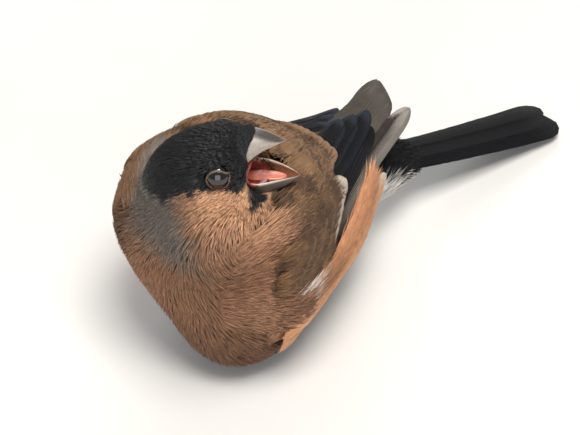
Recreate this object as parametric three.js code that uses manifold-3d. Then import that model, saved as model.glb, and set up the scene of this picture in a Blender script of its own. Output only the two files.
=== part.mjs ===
// A female bullfinch at life size, crouched on the ground with her head turned back over the left
// shoulder and the bill open. Millimetres, +Z up. The body lies along X with the tail towards +X and
// the bird's left side faces -Y. The ground is at z = 0, and places are given from a point on it
// under the middle of the body.
import * as THREE from "three";
import { mergeVertices } from "three/addons/utils/BufferGeometryUtils.js";
import Module from "manifold-3d";

const wasm = await Module();
wasm.setup();

const radians = (degrees) => (degrees * Math.PI) / 180;
const V = (x, y, z) => new THREE.Vector3(x, y, z);
const mix = THREE.MathUtils.lerp;
const mixed = (a, b, t) => a.map((value, i) => mix(value, b[i], t));
const LEFT = -1;
const RIGHT = 1;

// Driving dimensions

const SEAM = 0.3; // gap between pieces that touch
const VANE = 0.52; // thickness of a feather's vane
const SHINGLE = 0.16; // how far a feather tilts over the next one
const HEAD_CENTRE = V(-11.5, -1.5, 57);
const HEAD_TURN = 123; // degrees from straight ahead to the bird's left
const HEAD_LIFT = 28; // degrees that the bill points above level
const UPPER_BILL_RAISE = 8; // degrees that the open bill swings each half
const LOWER_BILL_DROP = 28.5;
const BILL_REACH = 17.6; // from the middle of the head to the tip of the closed bill
const BILL_HALF_WIDTH = 4.3;
const BILL_ROOM = 0.8; // swell of the bill that gives its room in the head
const CULMEN_HEIGHT = 4; // of the bill's ridge above the eye line at the forehead
const GAPE_HEIGHT = -2.4; // of the closed bill's cutting edge
const CHIN_HEIGHT = -7.8;
const EYE_RADIUS = 2.9;
const LID_RADIUS = 2.3;
const LID_THICKNESS = 0.42;
const TAIL_ROOT = V(36, -3, 19.6);
const TAIL_LENGTH = 65.5;
const TAIL_SKEW = 16.5; // degrees that the tail swings to the bird's left
const TAIL_FALL = 17.6; // from root to tip, so that the tip lies on the ground
const TAIL_FEATHERS = 8;
// Tip of each folded wing: how far back the longest and the innermost primary reach and their degrees
// down from the ridge of the back, how far the longest one's tip stands off the body, how closely the
// first tips keep in line, and how far the coverts are set back from the breast
const WING_TIPS = {
  left: { outer: [48.3, 78], inner: [40, 48], lift: 0.3, fan: 1.8, setBack: 0 },
  right: { outer: [49, 42], inner: [48.5, -27], lift: 1.5, fan: 1.9, setBack: 2.5 },
};
const TAIL_HALF_WIDTH = 7.2; // closed tail, at its end
const TAIL_FEATHER_HALF_WIDTH = 4;
const TARSUS_RADIUS = 1.15;
const FRAME_SHIFT = [-34.65, -0.51, 0]; // from the frame used below to one under the middle of the model

// Axes of the head: forward along the bill, up through the crown, right through the right eye

const headForward = V(
  -Math.cos(radians(HEAD_TURN)) * Math.cos(radians(HEAD_LIFT)),
  -Math.sin(radians(HEAD_TURN)) * Math.cos(radians(HEAD_LIFT)),
  Math.sin(radians(HEAD_LIFT)),
);
const headRight = headForward.clone().cross(V(0, 0, 1)).normalize();
const headUp = headRight.clone().cross(headForward);
const headAxes = [headForward, headUp, headRight];
const headWay = (forward, up, right) =>
  V(0, 0, 0)
    .addScaledVector(headForward, forward)
    .addScaledVector(headUp, up)
    .addScaledVector(headRight, right);
const headPoint = (forward, up, right) => HEAD_CENTRE.clone().add(headWay(forward, up, right));
// Head axes nosed down by an angle
const nosedDown = (degrees) => [
  headWay(Math.cos(radians(degrees)), -Math.sin(radians(degrees)), 0),
  headWay(Math.sin(radians(degrees)), Math.cos(radians(degrees)), 0),
  headRight,
];

// Axes of the tail at its root: along it, across it to the bird's right, and up

const TAIL_RUN = Math.sqrt(TAIL_LENGTH ** 2 - TAIL_FALL ** 2);
const TAIL_SAG = 0.22; // share of the fall that eases off towards the tip
const tailLevelWay = V(Math.cos(radians(TAIL_SKEW)), -Math.sin(radians(TAIL_SKEW)), 0);
const tailMiddle = (t) =>
  TAIL_ROOT.clone()
    .addScaledVector(tailLevelWay, TAIL_RUN * t)
    .add(V(0, 0, -TAIL_FALL * t * (1 + TAIL_SAG * (1 - t))));
const tailAlong = tailMiddle(0.1).sub(tailMiddle(0)).normalize();
const tailAcross = V(0, 0, 1).cross(tailLevelWay).normalize();
const tailUp = tailAlong.clone().cross(tailAcross);

// The plumage's outline: ellipsoids that run into each other, each with a centre, half sizes and axes

const levelAxes = [V(1, 0, 0), V(0, 1, 0), V(0, 0, 1)];
function pitchedAxes(degrees) {
  const a = radians(degrees);
  return [V(Math.cos(a), 0, -Math.sin(a)), V(0, 1, 0), V(Math.sin(a), 0, Math.cos(a))];
}
const form = (centre, half, axes = levelAxes) => ({ centre, half, axes });

const torsoForms = [
  form(V(-5, 0, 30), [23, 22, 24]), // breast
  form(V(-11, 9, 35), [15.5, 14, 12.8]), // right shoulder
  form(V(-10, -7, 15.5), [15, 14.5, 17]), // lower breast, on the ground
  form(V(5, -7.4, 21), [24, 12.6, 18]), // left flank
  form(V(12, -0.6, 25), [26, 15.8, 15.2], pitchedAxes(12)), // back and belly
  form(V(31, -2.8, 19.5), [14, 8.8, 8.3], pitchedAxes(5)), // rump
];
const neckForms = [form(V(-14, -5.5, 43.5), [14.5, 15, 12.5])];
const headForms = [
  form(headPoint(-3.2, -1.3, 0), [13.4, 8.9, 10], headAxes), // skull and nape
  form(headPoint(3.6, -1.6, 0), [6.8, 6.9, 7], headAxes), // face
  form(headPoint(3.2, -7.2, 0), [6.4, 4.8, 5.4], nosedDown(LOWER_BILL_DROP)), // chin
];
const tailCovertForm = form(TAIL_ROOT.clone().addScaledVector(tailAlong, -2).addScaledVector(tailUp, -1.2),
  [27, 9, 8.2], [tailAlong, tailAcross, tailUp]);
const wingRestForm = form(V(24, -5.8, 31), [33, 8, 7]); // what the folded wings close over
const BLEND = 6; // how far one form runs into the next

// Near enough the distance from a point to an ellipsoid, negative inside
function ellipsoidDistance(p, { centre, half, axes }) {
  const d = p.clone().sub(centre);
  let reach = 0;
  let slope = 0;
  axes.forEach((axis, i) => {
    const t = d.dot(axis);
    reach += (t / half[i]) ** 2;
    slope += (t / half[i] ** 2) ** 2;
  });
  return (Math.sqrt(reach) * (Math.sqrt(reach) - 1)) / Math.max(Math.sqrt(slope), 1e-6);
}
const runTogether = (a, b) => Math.min(a, b) - Math.max(BLEND - Math.abs(a - b), 0) ** 2 / (4 * BLEND);
const fieldOf = (forms) => (p) => forms.map((f) => ellipsoidDistance(p, f)).reduce(runTogether);
const plumage = fieldOf([...torsoForms, tailCovertForm, ...neckForms, ...headForms]);
const wingField = fieldOf([...torsoForms, tailCovertForm, ...neckForms, wingRestForm]);

// Which way a field grows fastest, and the nearest point where it has a given level
function growth(field, p) {
  const STEP = 0.05;
  return V(
    field(p.clone().add(V(STEP, 0, 0))) - field(p.clone().add(V(-STEP, 0, 0))),
    field(p.clone().add(V(0, STEP, 0))) - field(p.clone().add(V(0, -STEP, 0))),
    field(p.clone().add(V(0, 0, STEP))) - field(p.clone().add(V(0, 0, -STEP))),
  ).divideScalar(2 * STEP);
}
function onLevel(field, start, level) {
  const p = start.clone();
  for (let i = 0; i < 4; i++) {
    const way = growth(field, p);
    p.addScaledVector(way, (level - field(p)) / way.lengthSq());
  }
  return p;
}
// Where a straight way out from an inner point reaches a level
function surfaceFrom(inner, way, field = plumage, level = 0) {
  const STEP = 1.5;
  const at = (t) => inner.clone().addScaledVector(way, t);
  let far = STEP;
  while (field(at(far)) < level) far += STEP;
  let near = far - STEP;
  for (let i = 0; i < 14; i++) {
    const middle = (near + far) / 2;
    if (field(at(middle)) < level) near = middle;
    else far = middle;
  }
  return at(far);
}

// Closed meshes and solids

function meshOf(points, faces) {
  const numbers = new Float32Array(points.flatMap((p) => p.toArray()));
  return new THREE.BufferGeometry()
    .setAttribute("position", new THREE.BufferAttribute(numbers, 3))
    .setIndex(faces.flat());
}
function solidOf(geometry) {
  const bare = geometry.clone();
  bare.deleteAttribute("normal");
  bare.deleteAttribute("uv");
  const merged = mergeVertices(bare, 1e-4);
  return new wasm.Manifold(
    new wasm.Mesh({
      numProp: 3,
      vertProperties: merged.attributes.position.array,
      triVerts: new Uint32Array(merged.index.array),
    }),
  );
}
const union = (solids) => solids.reduce((a, b) => a.add(b));

// Rings of equal counts joined into a closed body, each end drawn in to its middle point. The rings
// run clockwise as seen from the first end, or the body is turned inside out and put right.
function loft(rings) {
  const size = rings[0].length;
  const middleOf = (ring) => ring.reduce((sum, p) => sum.add(p), V(0, 0, 0)).divideScalar(size);
  const points = [...rings.flat(), middleOf(rings[0]), middleOf(rings[rings.length - 1])];
  const first = points.length - 2;
  const last = points.length - 1;
  const faces = [];
  for (let j = 0; j < size; j++) {
    const k = (j + 1) % size;
    for (let i = 0; i < rings.length - 1; i++) {
      const [a, b, c, d] = [i * size + j, i * size + k, (i + 1) * size + j, (i + 1) * size + k];
      faces.push([a, b, d], [a, d, c]);
    }
    faces.push([first, k, j], [last, (rings.length - 1) * size + j, (rings.length - 1) * size + k]);
  }
  return rightSideOut(points, faces);
}
function rightSideOut(points, faces) {
  const volume = faces.reduce((sum, [a, b, c]) => sum + points[a].dot(points[b].clone().cross(points[c])), 0);
  return solidOf(meshOf(points, volume > 0 ? faces : faces.map(([a, b, c]) => [a, c, b])));
}

// An ellipsoid of a given centre, half sizes and axes
function ellipsoid(centre, half, axes = levelAxes, spokes = 16, rings = 10) {
  const ball = new THREE.SphereGeometry(1, spokes, rings);
  const place = new THREE.Matrix4()
    .makeBasis(...axes.map((axis, i) => axis.clone().multiplyScalar(half[i])))
    .setPosition(centre);
  return solidOf(ball.applyMatrix4(place));
}
// A round tube through points, with a radius at each; `swell` makes it that much larger all round
function tube(path, radii, sides = 7, swell = 0) {
  const last = path.length - 1;
  return loft(
    path.map((point, i) => {
      const along = path[Math.min(i + 1, last)].clone().sub(path[Math.max(i - 1, 0)]).normalize();
      const p = point.clone().addScaledVector(along, swell * ((i === last) - (i === 0)));
      const radius = radii[i] + swell;
      const across = along.clone().cross(Math.abs(along.z) > 0.9 ? V(1, 0, 0) : V(0, 0, 1)).normalize();
      const other = across.clone().cross(along);
      return Array.from({ length: sides }, (_, j) => {
        const a = (2 * Math.PI * (j + 0.5)) / sides;
        return p.clone()
          .addScaledVector(across, radius * Math.cos(a))
          .addScaledVector(other, radius * Math.sin(a));
      });
    }),
  );
}
// The plumage as a ball of rings and spokes round an inner point, its poles on the given axis
function plumageBall(inner, pole, rings, spokes) {
  const across = V(0, 1, 0).cross(pole).normalize();
  const other = pole.clone().cross(across);
  const ring = (polar) =>
    Array.from({ length: spokes }, (_, j) => {
      const around = (2 * Math.PI * j) / spokes;
      const way = pole.clone().multiplyScalar(Math.cos(polar))
        .addScaledVector(across, Math.sin(polar) * Math.cos(around))
        .addScaledVector(other, Math.sin(polar) * Math.sin(around));
      return surfaceFrom(inner, way);
    });
  return loft(Array.from({ length: rings }, (_, i) => ring((Math.PI * (i + 0.35)) / (rings - 0.3))));
}
// The plumage as a column of rings that climbs from a foot to a top inside it, and a dome over the top
function plumageColumn(foot, top, pole, climbs, domeRings, spokes) {
  const across = V(0, 1, 0).cross(pole).normalize();
  const other = pole.clone().cross(across);
  const ring = (inner, lift) =>
    Array.from({ length: spokes }, (_, j) => {
      const around = (-2 * Math.PI * j) / spokes;
      const way = pole.clone().multiplyScalar(Math.sin(lift))
        .addScaledVector(across, Math.cos(lift) * Math.cos(around))
        .addScaledVector(other, Math.cos(lift) * Math.sin(around));
      return surfaceFrom(inner, way);
    });
  return loft([
    ...Array.from({ length: climbs }, (_, i) => ring(foot.clone().lerp(top, i / climbs), 0)),
    ...Array.from({ length: domeRings }, (_, i) => ring(top, (Math.PI * i) / (2 * domeRings - 1))),
  ]);
}

// Everything on the far side of a plane, as a big block whose face lies a little past the plane
function beyond([point, normal], past = 0) {
  const SIZE = 300;
  const block = new THREE.BoxGeometry(SIZE, SIZE, SIZE).translate(0, 0, SIZE / 2 + past);
  block.applyQuaternion(new THREE.Quaternion().setFromUnitVectors(V(0, 0, 1), normal.clone().normalize()));
  return solidOf(block.translate(point.x, point.y, point.z));
}
const before = ([point, normal], past = 0) => beyond([point, normal.clone().negate()], past);
const ABOVE_GROUND = [V(0, 0, 0), V(0, 0, 1)];
// The two halves of a solid parted by a plane, with the seam taken from both
const parted = (solid, plane) => [
  solid.intersect(beyond(plane, SEAM / 2)),
  solid.intersect(before(plane, SEAM / 2)),
];

const root = new THREE.Group();
root.position.set(...FRAME_SHIFT);
// The solid's largest closed body as a named mesh
function add(name, solid, colour, roughness = 0.9) {
  const mesh = solid.decompose().sort((a, b) => b.volume() - a.volume())[0].getMesh();
  const geometry = new THREE.BufferGeometry()
    .setAttribute("position", new THREE.BufferAttribute(mesh.vertProperties, 3))
    .setIndex([...mesh.triVerts]);
  const finish = new THREE.MeshStandardMaterial({ color: colour, roughness, metalness: 0 });
  const made = new THREE.Mesh(geometry, finish);
  made.name = name;
  root.add(made);
}

const BLACK = "#17171c";
const CAP = "#1d1c20";
const BUFF = "#a97b5c";
const BREAST = "#8f6a50";
const BACK = "#7d6552";
const WHITE = "#dad6d0";
const FLIGHT = "#4d4744";
const BILL = "#4a4442";
const MOUTH = "#b0463f";
const TONGUE = "#d8806a";
const EYE = "#120d0b";
const LEG = "#6e5348";
const CLAW = "#3a302c";

// A feather's vane, lying on a field: stations along its middle line from root to tip, and a few
// columns across it, with the bird's upper side of the vane last. Both faces are split alike.
function vane({ field, middle, side, halfWidth, level, tilt, columns }) {
  const inner = [];
  const outer = [];
  middle.forEach(({ t, point }, i) => {
    const next = middle[Math.min(i + 1, middle.length - 1)].point;
    const along = next.clone().sub(middle[Math.max(i - 1, 0)].point).normalize();
    const across = growth(field, point).cross(along).normalize().multiplyScalar(-side);
    for (let j = 0; j <= columns; j++) {
      const s = (2 * j) / columns - 1;
      const start = point.clone().addScaledVector(across, s * halfWidth(t));
      const low = level(t) - tilt * s;
      inner.push(onLevel(field, start, low));
      outer.push(onLevel(field, start, low + VANE));
    }
  });
  return sheet(inner, outer, middle.length, columns + 1);
}
// A closed sheet between two grids of points, row by row
function sheet(inner, outer, rows, width) {
  const count = rows * width;
  const at = (i, j) => i * width + j;
  const faces = [];
  for (let i = 0; i < rows - 1; i++) {
    for (let j = 0; j < width - 1; j++) {
      const [a, b, c, d] = [at(i, j), at(i, j + 1), at(i + 1, j), at(i + 1, j + 1)];
      faces.push([a, b, d], [a, d, c], [count + a, count + d, count + b], [count + a, count + c, count + d]);
    }
  }
  const rim = [
    ...Array.from({ length: width - 1 }, (_, j) => at(0, j)),
    ...Array.from({ length: rows - 1 }, (_, i) => at(i, width - 1)),
    ...Array.from({ length: width - 1 }, (_, j) => at(rows - 1, width - 1 - j)),
    ...Array.from({ length: rows - 1 }, (_, i) => at(rows - 1 - i, 0)),
  ];
  rim.forEach((p, i) => {
    const q = rim[(i + 1) % rim.length];
    faces.push([q, p, count + p], [q, count + p, count + q]);
  });
  return rightSideOut([...inner, ...outer], faces);
}

// Places on the body by distance along it and angle down from its ridge

const AXIS_Y = -2;
const bodyAxis = (x) => V(x, AXIS_Y, mix(27, 33, THREE.MathUtils.clamp(x / 54, 0, 1)));
const bodyPlace = (field, side, [x, angle], level) =>
  surfaceFrom(bodyAxis(x), V(0, side * Math.sin(radians(angle)), Math.cos(radians(angle))), field, level);

// Places along a feather: even steps, and a short last one for the round tip
const stationsOf = (steps) => [...Array.from({ length: steps }, (_, i) => (0.93 * i) / (steps - 1)), 1];
const COVERT_STATIONS = [0, 0.6, 1];
const PATCH_STATIONS = [0, 0.25, 0.5, 0.75, 1];
// Share of a feather's full width along it: narrow at the root, round at the tip
const featherShape = (t) =>
  mix(0.5, 1, Math.min(1, t / 0.5)) * Math.sqrt(Math.max(0.06, 1 - Math.max(0, (t - 0.7) / 0.3) ** 2));
const patchShape = () => 1;

// Feathers set side by side, their roots and tips spread between two places each. `bow` bends the
// middle line down, in degrees round the body, and `fan` above 1 keeps the first tips close in line.
function tier({ field, side, count, roots, tips, bow = 0, fan = 1, stations = COVERT_STATIONS,
  shape = featherShape, halfWidth, level, columns = 2, tilt = SHINGLE, setBack = 0 }) {
  return Array.from({ length: count }, (_, i) => {
    const share = count > 1 ? i / (count - 1) : 0.5;
    const rootPlace = mixed(roots[0], roots[1], share);
    const tipPlace = [mix(tips[0][0], tips[1][0], share ** fan), mix(tips[0][1], tips[1][1], share)];
    const middle = stations.map((t) => {
      const [x, angle] = mixed(rootPlace, tipPlace, t);
      return { t, point: bodyPlace(field, side, [x + setBack, angle + bow * Math.sin(Math.PI * t)], 1) };
    });
    const levelHere = (t) => level(t, share);
    return vane({ field, middle, side, halfWidth: (t) => halfWidth * shape(t), level: levelHere, columns, tilt });
  });
}

// Legs, folded under the belly: heel, joint of the toes, and headings of the toes from straight ahead

const LEGS = {
  left: { side: LEFT, heel: V(19, -11.5, 4.6), toeJoint: V(3, -11.5, 2) },
  right: { side: RIGHT, heel: V(17.5, 10, 9.4), toeJoint: V(2.5, 10.5, 2) },
};
// Each toe: degrees outwards from straight ahead, length, radius and claw length
const TOES = {
  inner: { outwards: -16, reach: 7.4, radius: 0.85, claw: 3.4 },
  middle: { outwards: 2, reach: 10.2, radius: 0.9, claw: 3.8 },
  outer: { outwards: 22, reach: 7.6, radius: 0.8, claw: 3.3 },
  hind: { outwards: 165, reach: 5.8, radius: 0.95, claw: 4.6 },
};
const toeWay = (side, outwards) => V(-Math.cos(radians(outwards)), side * Math.sin(radians(outwards)), 0);
function toePath({ side, toeJoint }, { outwards, reach, radius }) {
  const way = toeWay(side, outwards);
  return [
    toeJoint.clone(),
    ...[0.25, 0.5, 0.75, 1].map((t) => toeJoint.clone().addScaledVector(way, reach * t).setZ(radius * 0.8)),
  ];
}
const toeSolid = (leg, toe, swell = 0) =>
  tube(toePath(leg, toe), [1.25, 1, 1.12, 0.92, 0.98].map((share) => toe.radius * share), 5, swell);
function clawSolid({ side, toeJoint }, { outwards, reach, radius, claw }, swell = 0) {
  const way = toeWay(side, outwards);
  const at = (run, height) => toeJoint.clone().addScaledVector(way, reach + run * claw).setZ(height);
  return tube(
    [[SEAM / claw, 1], [0.3, 1.15], [0.65, 1], [0.9, 0.6], [1, 0.25]]
      .map(([run, rise]) => at(run, radius * rise)),
    [0.66, 0.6, 0.46, 0.3, 0.12],
    6,
    swell,
  );
}
function tarsusSolid({ heel, toeJoint }, swell = 0) {
  const at = (t) => heel.clone().lerp(toeJoint, t);
  return tube(
    [at(-0.06), at(0.04), at(0.15), at(0.5), at(0.85), at(1)],
    [1.35, 1.75, 1.25, 1, 1.05, 1.3].map((share) => TARSUS_RADIUS * share),
    7,
    swell,
  );
}
for (const [name, leg] of Object.entries(LEGS)) {
  const foot = [tarsusSolid(leg), ...Object.values(TOES).map((toe) => toeSolid(leg, toe))];
  add(`leg_${name}`, union(foot).intersect(beyond(ABOVE_GROUND)), LEG, 0.6);
  for (const [toeName, toe] of Object.entries(TOES)) {
    add(`claw_${name}_${toeName}`, clawSolid(leg, toe).intersect(beyond(ABOVE_GROUND)), CLAW, 0.4);
  }
}
// The room that the legs take up in the plumage of the belly
const legRoom = union(
  Object.values(LEGS).flatMap((leg) => [
    tarsusSolid(leg, SEAM),
    ...Object.values(TOES).flatMap((toe) => [toeSolid(leg, toe, SEAM), clawSolid(leg, toe, SEAM)]),
  ]),
);

// Tail: feathers stacked with the middle pair on top, the outer ones a little longer

const TAIL_LAYER = 0.3; // each pair lies this much over the next
const TAIL_CAMBER = 0.02; // fall towards the sides, over the square of the distance
const tailAt = (t, across, height) =>
  tailMiddle(t)
    .addScaledVector(tailAcross, across)
    .addScaledVector(tailUp, height - TAIL_CAMBER * across ** 2);
const TAIL_STATIONS = [0, 0.35, 0.7, 0.93, 1];
function tailSheet({ middle, halfWidth, low, high, start = 0, reach = 1, shape = () => 1 }) {
  const grid = (height) =>
    TAIL_STATIONS.flatMap((t) =>
      [-1, 0, 1].map((s) => tailAt(mix(start, reach, t), middle(t) + s * halfWidth(t) * shape(t), height)),
    );
  return sheet(grid(low), grid(high), TAIL_STATIONS.length, 3);
}
const TAIL_SPREAD = TAIL_HALF_WIDTH - TAIL_FEATHER_HALF_WIDTH;
const tailMiddleSpread = (t) => TAIL_SPREAD * mix(0.6, 1, t);
const tailFeatherHalf = (t) => TAIL_FEATHER_HALF_WIDTH * mix(0.7, 1, t);
const tailFeathers = Array.from({ length: TAIL_FEATHERS }, (_, i) => {
  const place = (2 * i) / (TAIL_FEATHERS - 1) - 1; // -1 at the bird's left edge, 1 at the right
  const layer = (TAIL_FEATHERS / 2) * (1 - Math.abs(place)) * TAIL_LAYER;
  return tailSheet({
    middle: (t) => place * tailMiddleSpread(t),
    halfWidth: tailFeatherHalf,
    low: layer,
    high: layer + VANE,
    reach: 0.965 + 0.035 * Math.abs(place),
    shape: (t) => (t < 0.9 ? 1 : Math.sqrt(1 - 0.8 * ((t - 0.9) / 0.1) ** 2)),
  });
});
const tailTop = (TAIL_FEATHERS / 2) * TAIL_LAYER + VANE;
add("tail", union(tailFeathers).intersect(beyond(ABOVE_GROUND)), BLACK, 0.5);
const tailRoom = tailSheet({
  middle: () => 0,
  halfWidth: (t) => tailMiddleSpread(t) + tailFeatherHalf(t) + SEAM,
  low: -SEAM,
  high: tailTop + SEAM,
  start: -0.02,
});

// Body and head: balls of plumage parted by planes

const TAIL_CUT = [TAIL_ROOT, tailAlong];
const RUMP_CUT = [V(25, 0, 0), V(1, 0, 0)];
const SHOULDER_CUT = [V(-12, -4, 41), V(-0.35, -0.15, 1).normalize()];
const NECK_CUT = [V(-12, -4, 48), V(-0.1, -0.1, 1).normalize()];
const TAIL_TOP_CUT = [TAIL_ROOT.clone().addScaledVector(tailUp, tailTop), tailUp];
const TAIL_UNDER_CUT = [TAIL_ROOT, tailUp];

const trunk = plumageBall(V(-2, -2, 27), V(1, 0, 0), 22, 26)
  .intersect(beyond(ABOVE_GROUND))
  .subtract(legRoom);
const [rear, torso] = parted(trunk.intersect(before(SHOULDER_CUT, SEAM / 2)), RUMP_CUT);
add("torso", torso, BREAST);
add("rump", rear.intersect(before(TAIL_CUT, SEAM)), WHITE);
const neckAndHead = plumageColumn(V(-13, -5, 38), HEAD_CENTRE, SHOULDER_CUT[1], 6, 8, 22)
  .intersect(beyond(SHOULDER_CUT, SEAM / 2));
const [headBall, neck] = parted(neckAndHead, NECK_CUT);
add("neck", neck, BUFF);
const sleeve = plumageBall(TAIL_ROOT.clone().addScaledVector(tailAlong, 4), tailAlong, 11, 16)
  .intersect(beyond(TAIL_CUT))
  .subtract(tailRoom);
add("uppertail_coverts", sleeve.intersect(beyond(TAIL_TOP_CUT, SEAM)), BLACK);
add("undertail_coverts", sleeve.intersect(before(TAIL_UNDER_CUT, SEAM)), WHITE);

// Bill: each half is a loft of arches from the base to the tip, swung open about its own pivot

const upperPivot = [9.5, 2];
const jawPivot = [0, -4];
function swung([forward, up], [pivotForward, pivotUp], degrees) {
  const a = radians(degrees);
  const [f, u] = [forward - pivotForward, up - pivotUp];
  return [
    pivotForward + f * Math.cos(a) - u * Math.sin(a),
    pivotUp + f * Math.sin(a) + u * Math.cos(a),
  ];
}
const BILL_STATIONS = [-0.28, 0, 0.2, 0.42, 0.64, 0.82, 0.94, 1];
const ARCH_STEPS = 8;
// base and edge are the forward places of the ridge and of the cutting edge at the feathers; ridge and
// inside give the heights of the outer and inner arch above the cutting edge
function billHalf({ ridgeBase, edgeBase, edgeHeight, ridge, hollow, width, pivot, swing }, swell = 0) {
  return loft(
    BILL_STATIONS.map((t) => {
      const along = Math.max(t, 0);
      const back = t < 0 ? t * 10 - swell : 0;
      const half = width * Math.max(1 - along ** 1.7, 0.002) ** 0.75 + swell;
      const edge = edgeHeight(along);
      const height = ridge(along);
      const outer = Array.from({ length: ARCH_STEPS + 1 }, (_, j) => {
        const a = (Math.PI * j) / ARCH_STEPS;
        const rise = Math.sin(a) ** 0.8;
        return [
          mix(mix(edgeBase, BILL_REACH, along), mix(ridgeBase, BILL_REACH, along), rise) + back,
          edge + rise * (height + Math.sign(height) * swell) - (1 - rise) * Math.sign(height) * swell,
          half * Math.cos(a),
        ];
      });
      const inner = swell ? [] : [-0.55, 0.55].map((s) =>
        [mix(edgeBase, BILL_REACH, along) + back, edge + height * hollow, half * s]);
      return [...outer, ...inner].map(([f, u, r]) => headPoint(...swung([f, u], pivot, swing), r));
    }),
  );
}
const UPPER_BILL = {
  ridgeBase: 10.3,
  edgeBase: 8.4,
  edgeHeight: (t) => GAPE_HEIGHT - 1.1 * t ** 2,
  ridge: (t) => (CULMEN_HEIGHT - GAPE_HEIGHT) * Math.max(1 - t ** 1.9, 0.01),
  hollow: 0.25,
  width: BILL_HALF_WIDTH,
  pivot: upperPivot,
  swing: UPPER_BILL_RAISE,
};
const LOWER_BILL = {
  ridgeBase: 10,
  edgeBase: 9.2,
  edgeHeight: (t) => GAPE_HEIGHT - 1.1 - 0.5 * Math.sin(Math.PI * t) * 0.4,
  ridge: (t) => (CHIN_HEIGHT - GAPE_HEIGHT + 1.1) * Math.max(1 - t ** 1.6, 0.02),
  hollow: 0.5,
  width: BILL_HALF_WIDTH - 0.15,
  pivot: jawPivot,
  swing: -LOWER_BILL_DROP,
};

// Mouth: the lining between the two halves of the bill, hollow in front, with the tongue in it

const onHeadPlane = (forward, up, wayForward, wayUp) =>
  [headPoint(forward, up, 0), headWay(wayForward, wayUp, 0)];
const mouthEdge = (bill, t) =>
  swung([mix(bill.edgeBase, BILL_REACH, t), bill.edgeHeight(t)], bill.pivot, bill.swing);
const [upperBack, upperFront] = [mouthEdge(UPPER_BILL, 0), mouthEdge(UPPER_BILL, 0.7)];
const [lowerBack, lowerFront] = [mouthEdge(LOWER_BILL, 0), mouthEdge(LOWER_BILL, 0.7)];
const PALATE = onHeadPlane(...upperBack, upperBack[1] - upperFront[1], upperFront[0] - upperBack[0]);
const JAW = onHeadPlane(...lowerBack, lowerBack[1] - lowerFront[1], lowerFront[0] - lowerBack[0]);
const between = (solid, gap) => solid.intersect(before(PALATE, gap)).intersect(beyond(JAW, gap));
const gapeMiddle = (upperBack[1] + lowerBack[1]) / 2;
const mouthBody = ellipsoid(headPoint(4.6, gapeMiddle, 0), [6.2, 6, 4.5], headAxes, 14, 10);
const mouthHollow = ellipsoid(headPoint(11, gapeMiddle, 0), [8.4, 2.7, 3.5], nosedDown(12), 14, 10);
const mouthRoom = between(
  ellipsoid(headPoint(4.6, gapeMiddle, 0), [6.2 + SEAM, 6 + SEAM, 4.5 + SEAM], headAxes, 14, 10)
    .add(ellipsoid(headPoint(9.5, gapeMiddle, 0), [6.5, 7, 4.5 + SEAM], headAxes, 14, 10)), 0);
add("mouth", between(mouthBody, SEAM).subtract(mouthHollow), MOUTH, 0.35);
const tongue = ellipsoid(headPoint(10.2, gapeMiddle - 1.1, 0), [3.6, 0.75, 1.7], nosedDown(20), 14, 8);
add("tongue", tongue, TONGUE, 0.35);
const NOSTRIL_PLACE = [UPPER_BILL.ridgeBase + 0.7, CULMEN_HEIGHT - 2.3];
const nostril = (side) => {
  const [forward, up] = swung(NOSTRIL_PLACE, UPPER_BILL.pivot, UPPER_BILL.swing);
  return ellipsoid(headPoint(forward, up, side * 3.6), [0.75, 0.45, 0.6], headAxes, 8, 6);
};
const upperBill = billHalf(UPPER_BILL).subtract(nostril(LEFT)).subtract(nostril(RIGHT));
const lowerBill = billHalf(LOWER_BILL);
add("bill_upper", upperBill, BILL, 0.4);
add("bill_lower", lowerBill, BILL, 0.4);

// Eyes, each in a socket with a raised ring of lid round the opening

const EYE_PLACE = [3, 0.7, 6.7];
const EYE_WAY = [0.14, 0.06, 1];
const eyeCentre = (side) => headPoint(EYE_PLACE[0], EYE_PLACE[1], side * EYE_PLACE[2]);
const eyeWay = (side) => headWay(EYE_WAY[0], EYE_WAY[1], side * EYE_WAY[2]).normalize();
function lid(side) {
  const rise = Math.sqrt((EYE_RADIUS + LID_THICKNESS + SEAM) ** 2 - LID_RADIUS ** 2);
  const ring = new THREE.TorusGeometry(LID_RADIUS, LID_THICKNESS, 5, 12);
  ring.applyQuaternion(new THREE.Quaternion().setFromUnitVectors(V(0, 0, 1), eyeWay(side)));
  const centre = eyeCentre(side).addScaledVector(eyeWay(side), rise);
  return solidOf(ring.translate(centre.x, centre.y, centre.z));
}
let skull = headBall;
for (const side of [LEFT, RIGHT]) {
  const ball = [EYE_RADIUS, EYE_RADIUS, EYE_RADIUS];
  add(side === LEFT ? "eye_left" : "eye_right", ellipsoid(eyeCentre(side), ball, headAxes, 12, 8), EYE, 0.05);
  const opening = tube(
    [eyeCentre(side), eyeCentre(side).addScaledVector(eyeWay(side), 8)], [LID_RADIUS, LID_RADIUS], 12);
  const socket = ellipsoid(eyeCentre(side), ball.map((r) => r + SEAM), headAxes, 12, 8);
  skull = skull.subtract(opening).add(lid(side)).subtract(socket);
}
for (const room of [mouthRoom, billHalf(UPPER_BILL, BILL_ROOM), billHalf(LOWER_BILL, BILL_ROOM)]) {
  skull = skull.subtract(room);
}
const CAP_EDGE = [headPoint(3, -2.1, 9), headWay(0.12, 1, -0.1)];
const [crown, cheeks] = parted(skull, CAP_EDGE);
add("crown", crown, CAP);
add("cheeks", cheeks, BUFF);

// Wings, mantle and flanks: tiers of vanes lying on the body, each tier over the one behind it

const UNDER = 0.85; // lowest feathers above the body
const OVER = 2.05; // feathers that lie over those
const LAYER = 0.34; // between tiers of one node
const easedIn = (t, from, to) => THREE.MathUtils.smoothstep(t, from, to);

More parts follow.
